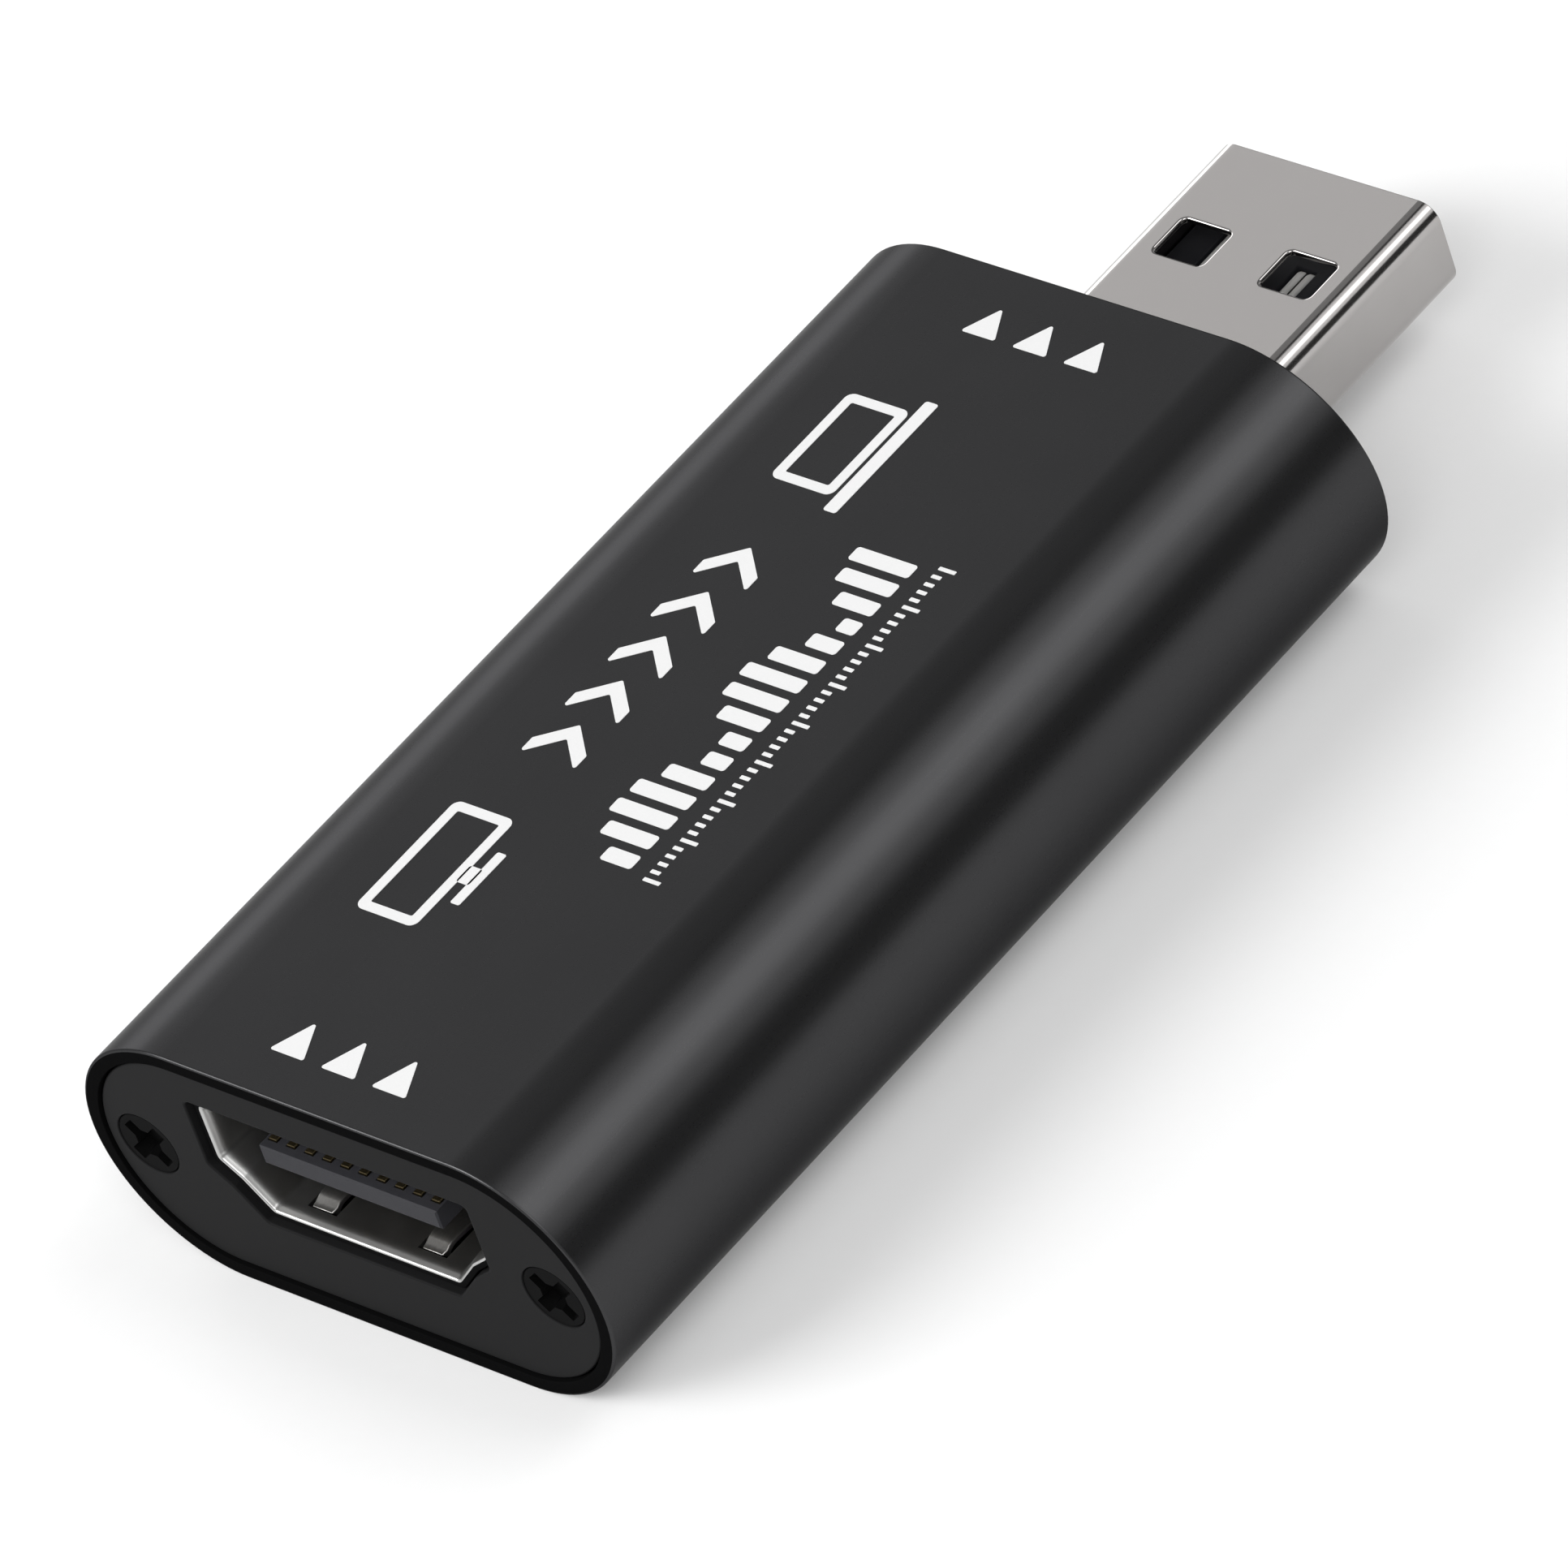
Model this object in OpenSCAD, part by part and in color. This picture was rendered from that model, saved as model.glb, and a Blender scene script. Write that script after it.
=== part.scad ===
// Video capture stick: an extruded sleeve closed by two screwed end plates.
// The board inside carries a wide video socket at one end and a computer plug at the other.
// +X is across, +Y points to the plug, +Z is up. The origin is under the middle of the whole length.

/* [Sleeve] */
// Outer width of the sleeve
sleeve_w = 28.5; // [27:0.1:34]
// Outer height of the sleeve
sleeve_h = 12.8; // [12.4:0.1:16]
// Length of the sleeve
sleeve_l = 53; // [50:0.5:80]
// Wall of the sleeve between its ends
sleeve_wall = 1.2; // [1:0.05:1.4]
// Wall of the sleeve around each end plate
mouth_wall = 0.75; // [0.5:0.05:0.9]

/* [End plates] */
// Thickness of each end plate
plate_t = 1.6; // [1.3:0.05:2.2]
// Gap between an end plate's edge and the sleeve
plate_fit = 0.08; // [0.05:0.01:0.12]
// Depth of an end plate's face behind the sleeve's rim
plate_recess = 0.15; // [0.05:0.05:0.4]
// Gap between a connector and the opening of the end plate around it
opening_gap = 0.2; // [0.1:0.05:0.3]

/* [Screws] */
// Distance of each screw's axis from the sleeve's side
screw_edge = 3.05; // [2.9:0.05:3.4]
// Diameter of a screw's head
screw_head_d = 3.15; // [2.8:0.05:3.4]
// Diameter of a screw's shank
screw_shank_d = 1.6; // [1.4:0.05:1.8]
// Length of a screw with its head
screw_l = 6; // [4:0.5:12]
// Straight rim of a screw's head above its cone
screw_land = 0.25; // [0.15:0.05:0.4]
// Length of a screw's tapered tip
screw_tip = 0.5; // [0.3:0.1:1]
// Gap between a screw and the plate or channel that holds it
screw_fit = 0.04; // [0.02:0.01:0.08]
// Wall of the screw channel around its bore
channel_wall = 0.75; // [0.5:0.05:0.85]
// Thickness of the web that joins a screw channel to the sleeve's side
channel_web = 1.6; // [1:0.1:2.4]
// Span of the cross recess
recess_span = 2.5; // [1.8:0.1:2.6]
// Width of an arm of the cross recess
recess_arm = 0.65; // [0.4:0.05:0.75]
// Depth of the cross recess
recess_depth = 0.7; // [0.4:0.05:0.9]

/* [Board] */
// Drop of the board's top face below the sleeve's middle
board_drop = 1.75; // [1.7:0.05:2]
// Thickness of the board
board_t = 1.2; // [0.8:0.1:1.6]
// Gap between the board and its slots in the sleeve
board_fit = 0.1; // [0.05:0.05:0.2]
// Gap between the board and each end plate
board_end_gap = 0.25; // [0.15:0.05:0.6]
// Reach of the slot rails over the board's edges
rail_grip = 1.5; // [1:0.1:2]
// Thickness of each slot rail
rail_t = 0.8; // [0.6:0.1:1]
// Space between rows of parts on the board
row_gap = 0.8; // [0.5:0.1:1]

/* [Video socket] */
// Depth of the socket's mouth behind the input plate's face
socket_recess = 0.35; // [0.2:0.05:0.5]
// Height of the socket's middle above the board, which is cut out under it
socket_rise = 2.5; // [2.4:0.05:2.7]
// Inside width of the socket
socket_w = 14.4; // [14:0.05:14.8]
// Inside height of the socket
socket_h = 4.9; // [4.7:0.05:5.1]
// Height of the socket's straight sides
socket_side_h = 2.75; // [2.6:0.05:2.9]
// Width of the slanted shoulder under each side
shoulder_w = 0.95; // [0.8:0.05:1.1]
// Height of the slanted shoulder
shoulder_h = 0.75; // [0.6:0.05:0.9]
// Width of the socket's floor
socket_floor_w = 10.1; // [9.8:0.05:10.4]
// Corner rounding of the socket's outline
socket_round = 0.35; // [0.2:0.05:0.45]
// Thickness of the socket's sheet metal
sheet_t = 0.3; // [0.2:0.05:0.35]
// Depth of the socket behind its mouth
socket_depth = 11.9; // [11:0.1:14]
// Outward flare of the mouth
mouth_flare = 0.2; // [0.1:0.05:0.3]
// Length of the flare
flare_depth = 0.3; // [0.2:0.05:0.4]
// Gap between the socket and the board's cut-out under it
sink_gap = 0.2; // [0.1:0.05:0.3]
// Width of a soldering leg along the socket
leg_w = 1.4; // [1:0.1:1.8]
// Reach of a soldering leg below the board
leg_out = 0.5; // [0.3:0.1:0.8]
// Distance of the front legs from the mouth
leg_front = 3.4; // [3.2:0.1:4.5]
// Distance of the back legs from the mouth
leg_back = 9.4; // [8:0.1:9.8]
// Gap around a leg in the board
leg_gap = 0.2; // [0.1:0.05:0.3]

/* [Socket insulator] */
// Width of the tongue
tongue_w = 9.8; // [9.7:0.05:10.4]
// Thickness of the tongue
tongue_t = 1; // [0.8:0.05:1.2]
// Height of the tongue's middle above the socket's middle
tongue_rise = 0.5; // [0.2:0.05:0.6]
// Distance of the tongue's front from the mouth
tongue_set = 0.3; // [0.2:0.05:1.2]
// Distance of the insulator's block from the mouth
block_set = 7.4; // [7:0.1:8]
// Gap between an insulator and the shell around it
insulator_fit = 0.05; // [0.02:0.01:0.1]

/* [Socket contacts] */
// Spacing of the contacts in a row
contact_pitch = 1; // [0.95:0.01:1.02]
// Number of contacts on top of the tongue
upper_contact_count = 10; // [8:1:10]
// Number of contacts under the tongue
lower_contact_count = 9; // [7:1:9]
// Width of a contact
contact_w = 0.45; // [0.35:0.05:0.5]
// Thickness of a contact
contact_t = 0.18; // [0.12:0.02:0.22]
// Distance of a contact's end from the tongue's front
contact_set = 0.5; // [0.3:0.1:0.9]
// Gap beside a contact in its groove
groove_gap = 0.05; // [0.02:0.01:0.08]
// Width of a contact's soldered tail
tail_w = 0.28; // [0.2:0.02:0.32]
// Length of a contact's soldered tail
tail_l = 1; // [0.7:0.1:1.4]

/* [Spring fingers] */
// Width of a spring finger
finger_w = 1.2; // [0.9:0.1:1.4]
// Length of a spring finger
finger_l = 4; // [3.4:0.1:4.5]
// Distance between the two fingers of a wall
finger_spread = 6.1; // [5.4:0.1:6.6]
// Distance of a finger's tip from the mouth
finger_set = 0.95; // [0.7:0.05:1.4]
// Rise of a finger's crest into the socket
finger_rise = 0.4; // [0.3:0.05:0.5]
// Length of the lead-in between a finger's tip and its crest
finger_lead = 0.8; // [0.5:0.1:1]
// Fall of the tip below the wall's inner face
finger_fall = 0.05; // [0:0.05:0.15]
// Slot beside and before a finger
finger_slot = 0.2; // [0.15:0.05:0.3]
// Gap behind a finger's root
root_gap = 0.06; // [0.04:0.01:0.1]

/* [Plug] */
// Outer width of the plug
plug_w = 12; // [11.8:0.05:12.2]
// Outer height of the plug
plug_h = 4.5; // [4.4:0.05:4.6]
// Reach of the plug out of the sleeve
plug_out = 15; // [13:0.1:18]
// Reach of the plug's shell into the sleeve
plug_in = 6.5; // [5:0.1:8]
// Corner radius of the plug's shell
plug_round = 0.95; // [0.5:0.05:1.1]
// Thickness of the plug's sheet metal
plug_sheet_t = 0.3; // [0.25:0.01:0.35]
// Depth of the plug's hollow behind its tip
hollow_depth = 11.75; // [9:0.05:12]
// Distance of the plug's tongue from its tip
plug_tongue_set = 0.4; // [0.2:0.1:1]
// Width of a window in the plug's shell
window_w = 2.75; // [2.4:0.05:2.9]
// Length of a window
window_l = 2.35; // [2:0.05:2.6]
// Distance between the windows' centres
window_spacing = 5.85; // [5.5:0.05:6.2]
// Distance of the windows from the plug's tip
window_set = 4.75; // [4.4:0.05:5.4]
// Corner radius of a window
window_round = 0.3; // [0.15:0.05:0.5]
// Width of a soldering wing beside the plug
wing_w = 1.6; // [1:0.1:2]
// Length of a soldering wing
wing_l = 2.5; // [1.5:0.1:3.5]
// Distance of a wing from the back of the shell
wing_set = 0.8; // [0.5:0.1:1.2]
// Gap between the plug and the board's notch
notch_gap = 0.2; // [0.1:0.05:0.4]

/* [Plug contacts] */
// Distance between the outer contacts' centres
power_spacing = 7; // [6.8:0.05:7.2]
// Distance between the inner contacts' centres
signal_spacing = 2; // [1.8:0.05:2.2]
// Width of a plug contact
plug_contact_w = 1; // [0.8:0.05:1.2]
// Thickness of a plug contact
plug_contact_t = 0.3; // [0.2:0.02:0.36]
// Distance of the outer contacts from the plug's tip
power_set = 2.4; // [1.2:0.1:2.6]
// Extra distance of the inner contacts from the plug's tip
signal_delay = 1.3; // [0.6:0.1:1.5]
// Length of a plug contact's soldered tail
plug_tail_l = 1.6; // [1:0.1:2.2]

/* [Chips] */
// Side of the capture chip
chip_w = 7; // [6:0.1:7.4]
// Thickness of the capture chip
chip_t = 1.4; // [1:0.1:1.6]
// Place of the capture chip across the board
chip_x = -4.6; // [-5:0.1:-4]
// Leads on each side of the capture chip
chip_lead_count = 12; // [8:1:12]
// Spacing of the capture chip's leads
chip_pitch = 0.5; // [0.4:0.05:0.52]
// Width of a lead of the capture chip
chip_lead_w = 0.22; // [0.16:0.02:0.26]
// Width of the memory chip
memory_w = 3.9; // [3.6:0.1:4.2]
// Length of the memory chip
memory_l = 4.9; // [4.6:0.1:5.4]
// Thickness of the memory chip
memory_t = 1.45; // [1.2:0.05:1.6]
// Leads on each side of the memory chip
memory_lead_count = 4; // [3:1:4]
// Spacing of the memory chip's leads
memory_pitch = 1.27; // [1.1:0.01:1.35]
// Width of a lead of the memory chip
memory_lead_w = 0.42; // [0.3:0.02:0.5]
// Reach of a lead beside its chip
lead_reach = 1; // [0.9:0.05:1.1]
// Length of a lead's foot
lead_foot = 0.55; // [0.4:0.05:0.6]
// Thickness of a lead
lead_t = 0.15; // [0.1:0.01:0.2]
// Height of a chip's body above the board
chip_lift = 0.1; // [0.05:0.05:0.2]

/* [Small parts] */
// Width of the clock crystal
crystal_w = 3.2; // [2.5:0.1:3.6]
// Length of the clock crystal
crystal_l = 2.5; // [2:0.1:2.8]
// Height of the crystal's ceramic base
crystal_base_t = 0.5; // [0.4:0.05:0.7]
// Height of the crystal's lid
crystal_lid_t = 0.25; // [0.15:0.05:0.4]
// Rim of the crystal's base around its lid
crystal_rim = 0.2; // [0.1:0.05:0.3]
// Width of a voltage regulator
regulator_w = 2.9; // [2.6:0.1:3.2]
// Length of a voltage regulator's body
regulator_l = 1.6; // [1.3:0.1:1.8]
// Thickness of a voltage regulator
regulator_t = 1.1; // [0.9:0.05:1.3]
// Distance between the two regulators' centres
regulator_spacing = 9.6; // [9:0.1:11]
// Spacing of the paired leads of a regulator
regulator_pitch = 1.9; // [1.6:0.1:2.1]
// Width of a surge array
surge_w = 2.5; // [2:0.1:2.8]
// Length of a surge array
surge_l = 1; // [0.8:0.1:1.2]
// Thickness of a surge array
surge_t = 0.6; // [0.4:0.05:0.8]
// Number of surge arrays
surge_count = 4; // [2:1:4]
// Spacing of the surge arrays
surge_pitch = 3; // [2.9:0.1:3.4]
// Length of a small part with its end caps
part_l = 1.6; // [1.2:0.1:1.8]
// Width of a small part
part_w = 0.8; // [0.6:0.05:1]
// Height of a small part
part_t = 0.7; // [0.4:0.05:0.9]
// Length of an end cap
cap_l = 0.35; // [0.2:0.05:0.45]
// Spacing of small parts in a row
part_pitch = 1.6; // [1.3:0.1:1.8]
// Number of resistors
resistor_count = 8; // [4:1:9]
// Number of capacitors
capacitor_count = 10; // [4:1:10]
// Number of ferrite beads
ferrite_count = 3; // [1:1:3]

/* [Hidden] */
$fn = 64;

// Overrun of a cut past the face that it opens
cut = 1;
// Steps of a rounded corner in the socket's outline
arc_steps = 4;

// Places along and up the stick
y_in = -(sleeve_l + plug_out) / 2;
y_out = y_in + sleeve_l;
y_tip = y_out + plug_out;
z_mid = sleeve_h / 2;
plate_seat = plate_recess + plate_t;

// Screws and their channels
screw_x = sleeve_w / 2 - screw_edge;
screw_cone = (screw_head_d - screw_shank_d) / 2;
channel_r = screw_shank_d / 2 + screw_fit + channel_wall;

// Board
board_top = z_mid - board_drop;
board_bottom = board_top - board_t;
hollow_r = sleeve_h / 2 - sleeve_wall;
slot_reach = sqrt(pow(hollow_r, 2) - pow(board_drop + board_t, 2));
board_half = (sleeve_w - sleeve_h) / 2 + slot_reach - board_fit;
board_y0 = y_in + plate_seat + board_end_gap;
board_y1 = y_out - plate_seat - board_end_gap;

// Socket
socket_y = y_in + plate_recess + socket_recess;
socket_back = socket_y + socket_depth;
socket_z = board_top + socket_rise;
socket_top = socket_h / 2;
socket_side = socket_top - socket_side_h;
socket_corners = [
  [socket_w / 2, socket_top],
  [-socket_w / 2, socket_top],
  [-socket_w / 2, socket_side],
  [-socket_w / 2 + shoulder_w, socket_side - shoulder_h],
  [-socket_floor_w / 2, -socket_top],
  [socket_floor_w / 2, -socket_top],
  [socket_w / 2 - shoulder_w, socket_side - shoulder_h],
  [socket_w / 2, socket_side]
];
leg_places = [leg_front, leg_back];
tongue_y = socket_y + tongue_set;
tongue_z = socket_z + tongue_rise;
upper_contact_z = tongue_z + tongue_t / 2 - contact_t;
lower_contact_z = tongue_z - tongue_t / 2;
tails_in = socket_back + tail_l;

// Spring fingers
finger_root = socket_y + finger_set + finger_l;
floor_z = socket_z - (socket_h + sheet_t) / 2;
roof_z = socket_z + (socket_h + sheet_t) / 2;

// Plug
plug_z = board_top + plug_contact_t;
plug_back = y_out - plug_in;
plug_inside_w = plug_w - 2 * plug_sheet_t;
plug_inside_h = plug_h - 2 * plug_sheet_t;
plug_contact_places = [
  [-power_spacing / 2, power_set],
  [-signal_spacing / 2, power_set + signal_delay],
  [signal_spacing / 2, power_set + signal_delay],
  [power_spacing / 2, power_set]
];
tails_out = plug_back - plug_tail_l;

// Rows of parts on the board
surge_y = tails_in + row_gap + surge_l / 2;
resistor_y = surge_y + surge_l / 2 + row_gap + part_l / 2;
chip_y = (tails_in + tails_out) / 2;
chip_side = chip_w / 2 + lead_reach;
memory_x = chip_x + chip_side + row_gap + lead_reach + memory_w / 2;
memory_y = chip_y - chip_w / 2 + memory_l / 2;
crystal_x = memory_x;
crystal_y = memory_y + memory_l / 2 + row_gap + crystal_l / 2;
capacitor_y = max(chip_y + chip_side, crystal_y + crystal_l / 2) + row_gap + part_l / 2;
regulator_y = tails_out - row_gap - lead_reach - regulator_l / 2;
ferrite_y = regulator_y;

function unit(v) = v / norm(v);
function turned(v, a) = [v.x * cos(a) - v.y * sin(a), v.x * sin(a) + v.y * cos(a)];
function row(count, pitch) = [for (i = [0:count - 1]) (i - (count - 1) / 2) * pitch];
function before(p, i) = p[(i + len(p) - 1) % len(p)];
function after(p, i) = p[(i + 1) % len(p)];

// An outline moved outwards by d, with mitred corners
function grown(p, d) = [
  for (i = [0:len(p) - 1])
    let (e1 = unit(p[i] - before(p, i)), e2 = unit(after(p, i) - p[i]))
    let (n1 = [e1.y, -e1.x], n2 = [e2.y, -e2.x])
    p[i] + d * (n1 + n2) / (1 + n1 * n2)
];

// An outline whose corners are arcs of radius r
function softened(p, r) = [
  for (i = [0:len(p) - 1])
    let (e1 = unit(p[i] - before(p, i)), e2 = unit(after(p, i) - p[i]))
    let (turn = atan2(cross(e1, e2), e1 * e2))
    let (start = p[i] - e1 * r * tan(abs(turn) / 2))
    let (centre = start + sign(turn) * r * [-e1.y, e1.x])
    for (k = [0:arc_steps]) centre + turned(start - centre, turn * k / arc_steps)
];
function socket_outline(d) = softened(grown(socket_corners, d), socket_round);
function socket_ring(d, y) = [for (p = socket_outline(d)) [p.x, y, socket_z + p.y]];

module block(low, high) {
  translate(low)
    cube(high - low);
}

// Extrudes an outline drawn in X and Z along Y
module along_y(y0, y1) {
  translate([0, y1, 0])
    rotate([90, 0, 0])
      linear_extrude(y1 - y0)
        children();
}

module stadium(w, h) {
  square([w - h, h], center = true);
  for (side = [-1, 1])
    translate([side * (w - h) / 2, 0])
      circle(d = h);
}

module rounded_rect(w, h, r) {
  square([w - 2 * r, h], center = true);
  square([w, h - 2 * r], center = true);
  for (x = [-1, 1])
    for (y = [-1, 1])
      translate([x * (w / 2 - r), y * (h / 2 - r)])
        circle(r = r);
}

// A closed ring of sheet lofted through a loop of outlines
module ring_loft(rings) {
  m = len(rings);
  n = len(rings[0]);
  polyhedron(
    points = [for (r = rings) each r],
    faces = [
      for (i = [0:m - 1])
        for (j = [0:n - 1])
          [i * n + j, (i + 1) % m * n + j, (i + 1) % m * n + (j + 1) % n, i * n + (j + 1) % n]
    ]
  );
}

// Puts children at both screws of an end, with +Z pointing into the sleeve
module at_screws(face_y, inward) {
  for (side = [-1, 1])
    translate([side * screw_x, face_y, z_mid])
      rotate([-90 * inward, 0, 0])
        children();
}

// Sleeve
module sleeve_section() {
  difference() {
    stadium(sleeve_w, sleeve_h);
    difference() {
      stadium(sleeve_w - 2 * sleeve_wall, sleeve_h - 2 * sleeve_wall);
      for (side = [0, 1])
        mirror([side, 0]) {
          translate([screw_x, 0])
            circle(r = channel_r);
          translate([screw_x, -channel_web / 2])
            square([screw_edge, channel_web]);
          translate([board_half - rail_grip, board_fit - board_drop])
            square([sleeve_w / 2, rail_t]);
          translate([board_half - rail_grip, -board_drop - board_t - board_fit - rail_t])
            square([sleeve_w / 2, rail_t]);
        }
    }
    translate([-board_half - board_fit, -board_drop - board_t - board_fit])
      square([2 * (board_half + board_fit), board_t + 2 * board_fit]);
    for (side = [-1, 1])
      translate([side * screw_x, 0])
        circle(r = screw_shank_d / 2 + screw_fit);
  }
}

module plate_outline(gap) {
  stadium(sleeve_w - 2 * (mouth_wall + gap), sleeve_h - 2 * (mouth_wall + gap));
}

module case_sleeve() {
  color("#2f2f31")
    difference() {
      translate([0, 0, z_mid])
        along_y(y_in, y_out)
          sleeve_section();
      translate([0, 0, z_mid])
        along_y(y_in - cut, y_in + plate_seat)
          plate_outline(0);
      translate([0, 0, z_mid])
        along_y(y_out - plate_seat, y_out + cut)
          plate_outline(0);
    }
}

// End plates
module screw_hole() {
  translate([0, 0, -cut])
    cylinder(h = cut + screw_land + screw_fit, d = screw_head_d + 2 * screw_fit);
  translate([0, 0, screw_land + screw_fit])
    cylinder(h = screw_cone, d1 = screw_head_d + 2 * screw_fit, d2 = screw_shank_d + 2 * screw_fit);
  cylinder(h = plate_t + cut, d = screw_shank_d + 2 * screw_fit);
}

module input_end_plate() {
  color("#2b2b2c")
    difference() {
      translate([0, 0, z_mid])
        along_y(y_in + plate_recess, y_in + plate_seat)
          plate_outline(plate_fit);
      translate([0, 0, socket_z])
        along_y(y_in - cut, y_in + plate_seat + cut)
          polygon(socket_outline(mouth_flare + sheet_t + opening_gap));
      at_screws(y_in + plate_recess, 1)
        screw_hole();
    }
}

module output_end_plate() {
  color("#2b2b2c")
    difference() {
      translate([0, 0, z_mid])
        along_y(y_out - plate_seat, y_out - plate_recess)
          plate_outline(plate_fit);
      translate([0, 0, plug_z])
        along_y(y_out - plate_seat - cut, y_out + cut)
          rounded_rect(plug_w + 2 * opening_gap, plug_h + 2 * opening_gap, plug_round + opening_gap);
      at_screws(y_out - plate_recess, -1)
        screw_hole();
    }
}

// Screws
module countersunk_screw() {
  difference() {
    union() {
      translate([0, 0, screw_fit])
        cylinder(h = screw_land, d = screw_head_d);
      translate([0, 0, screw_fit + screw_land])
        cylinder(h = screw_cone, d1 = screw_head_d, d2 = screw_shank_d);
      translate([0, 0, screw_fit + screw_land])
        cylinder(h = screw_l - screw_land - screw_tip, d = screw_shank_d);
      translate([0, 0, screw_fit + screw_l - screw_tip])
        cylinder(h = screw_tip, d1 = screw_shank_d, d2 = screw_shank_d / 2);
    }
    for (arm = [45, 135])
      rotate(arm)
        translate([-recess_span / 2, -recess_arm / 2, -cut])
          cube([recess_span, recess_arm, cut + screw_fit + recess_depth]);
  }
}

module input_plate_screws() {
  color("#202022")
    at_screws(y_in + plate_recess, 1)
      countersunk_screw();
}

module output_plate_screws() {
  color("#202022")
    at_screws(y_out - plate_recess, -1)
      countersunk_screw();
}

// Video socket
module finger_windows() {
  for (x = [-finger_spread / 2, finger_spread / 2])
    for (z = [floor_z, roof_z])
      block(
        [x - finger_w / 2 - finger_slot, socket_y + finger_set - finger_slot, z - sheet_t],
        [x + finger_w / 2 + finger_slot, finger_root + sheet_t / 2 + root_gap, z + sheet_t]
      );
}

module video_socket_shell() {
  color("#b9b9b6")
    difference() {
      union() {
        ring_loft([
          socket_ring(sheet_t, socket_back),
          socket_ring(sheet_t, socket_y + flare_depth),
          socket_ring(sheet_t + mouth_flare, socket_y),
          socket_ring(mouth_flare, socket_y),
          socket_ring(0, socket_y + flare_depth),
          socket_ring(0, socket_back)
        ]);
        for (side = [0, 1])
          for (y = leg_places)
            mirror([side, 0, 0])
              block(
                [socket_w / 2, socket_y + y - leg_w / 2, board_bottom - leg_out],
                [socket_w / 2 + sheet_t, socket_y + y + leg_w / 2, socket_z]
              );
      }
      finger_windows();
    }
}

module contact_grooves(count, z0, z1) {
  for (x = row(count, contact_pitch))
    block(
      [x - contact_w / 2 - groove_gap, tongue_y + contact_set - groove_gap, z0],
      [x + contact_w / 2 + groove_gap, socket_back + cut, z1]
    );
}

module video_socket_insulator() {
  color("#2a2a2c")
    difference() {
      union() {
        translate([0, 0, socket_z])
          along_y(socket_y + block_set, socket_back)
            polygon(socket_outline(-insulator_fit));
        block(
          [-tongue_w / 2, tongue_y, tongue_z - tongue_t / 2],
          [tongue_w / 2, socket_back, tongue_z + tongue_t / 2]
        );
      }
      contact_grooves(upper_contact_count, upper_contact_z, upper_contact_z + contact_t + groove_gap);
      contact_grooves(lower_contact_count, lower_contact_z - groove_gap, lower_contact_z + contact_t);
    }
}

module socket_contacts(count, z) {
  for (x = row(count, contact_pitch))
    translate([x, 0, 0]) {
      block(
        [-contact_w / 2, tongue_y + contact_set, z],
        [contact_w / 2, socket_back + contact_t, z + contact_t]
      );
      block(
        [-tail_w / 2, socket_back, board_top],
        [tail_w / 2, socket_back + contact_t, z + contact_t]
      );
      block([-tail_w / 2, socket_back, board_top], [tail_w / 2, tails_in, board_top + contact_t]);
    }
}

module video_socket_upper_contacts() {
  color("#c9a24a")
    socket_contacts(upper_contact_count, upper_contact_z);
}

module video_socket_lower_contacts() {
  color("#c9a24a")
    socket_contacts(lower_contact_count, lower_contact_z);
}

// Spring fingers
module spring_finger(x, z, in_roof) {
  half = sheet_t / 2;
  crest = finger_l - finger_lead;
  strip = [
    [0, half], [-crest, finger_rise + half], [-finger_l, half - finger_fall],
    [-finger_l, -finger_fall - half], [-crest, finger_rise - half], [0, -half]
  ];
  color("#c4c3bf")
    translate([x - finger_w / 2, finger_root, z])
      mirror([0, 0, in_roof])
        rotate([90, 0, 90])
          linear_extrude(finger_w) {
            polygon(strip);
            circle(r = half);
          }
}

module lower_left_spring_finger() {
  spring_finger(-finger_spread / 2, floor_z, 0);
}

module lower_right_spring_finger() {
  spring_finger(finger_spread / 2, floor_z, 0);
}

module upper_left_spring_finger() {
  spring_finger(-finger_spread / 2, roof_z, 1);
}

module upper_right_spring_finger() {
  spring_finger(finger_spread / 2, roof_z, 1);
}

// Plug
module plug_shell() {
  color("#aaa7a5")
    difference() {
      union() {
        translate([0, 0, plug_z])
          along_y(plug_back, y_tip)
            rounded_rect(plug_w, plug_h, plug_round);
        for (side = [0, 1])
          mirror([side, 0, 0])
            block(
              [plug_w / 2 - plug_sheet_t, plug_back + wing_set, board_top],
              [plug_w / 2 + wing_w, plug_back + wing_set + wing_l, board_top + plug_sheet_t]
            );
      }
      translate([0, 0, plug_z])
        along_y(plug_back - cut, y_tip + cut)
          rounded_rect(plug_inside_w, plug_inside_h, plug_round - plug_sheet_t);
      for (x = [-window_spacing / 2, window_spacing / 2])
        translate([x, y_tip - window_set - window_l / 2, plug_z - plug_h / 2 - cut])
          linear_extrude(plug_h + 2 * cut)
            rounded_rect(window_w, window_l, window_round);
    }
}

module plug_insulator() {
  color("#26262a")
    difference() {
      translate([0, 0, plug_z])
        along_y(plug_back, y_tip - plug_tongue_set)
          rounded_rect(
            plug_inside_w - 2 * insulator_fit, plug_inside_h - 2 * insulator_fit,
            plug_round - plug_sheet_t
          );
      block([-plug_w, y_tip - hollow_depth, plug_z], [plug_w, y_tip + cut, plug_z + plug_h]);
      for (place = plug_contact_places)
        block(
          [place.x - plug_contact_w / 2 - groove_gap, plug_back - cut, plug_z - plug_contact_t],
          [place.x + plug_contact_w / 2 + groove_gap, y_tip - place.y + groove_gap, plug_z + groove_gap]
        );
    }
}

module plug_contacts() {
  color("#cdb465")
    for (place = plug_contact_places)
      block(
        [place.x - plug_contact_w / 2, tails_out, plug_z - plug_contact_t],
        [place.x + plug_contact_w / 2, y_tip - place.y, plug_z]
      );
}

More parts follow.
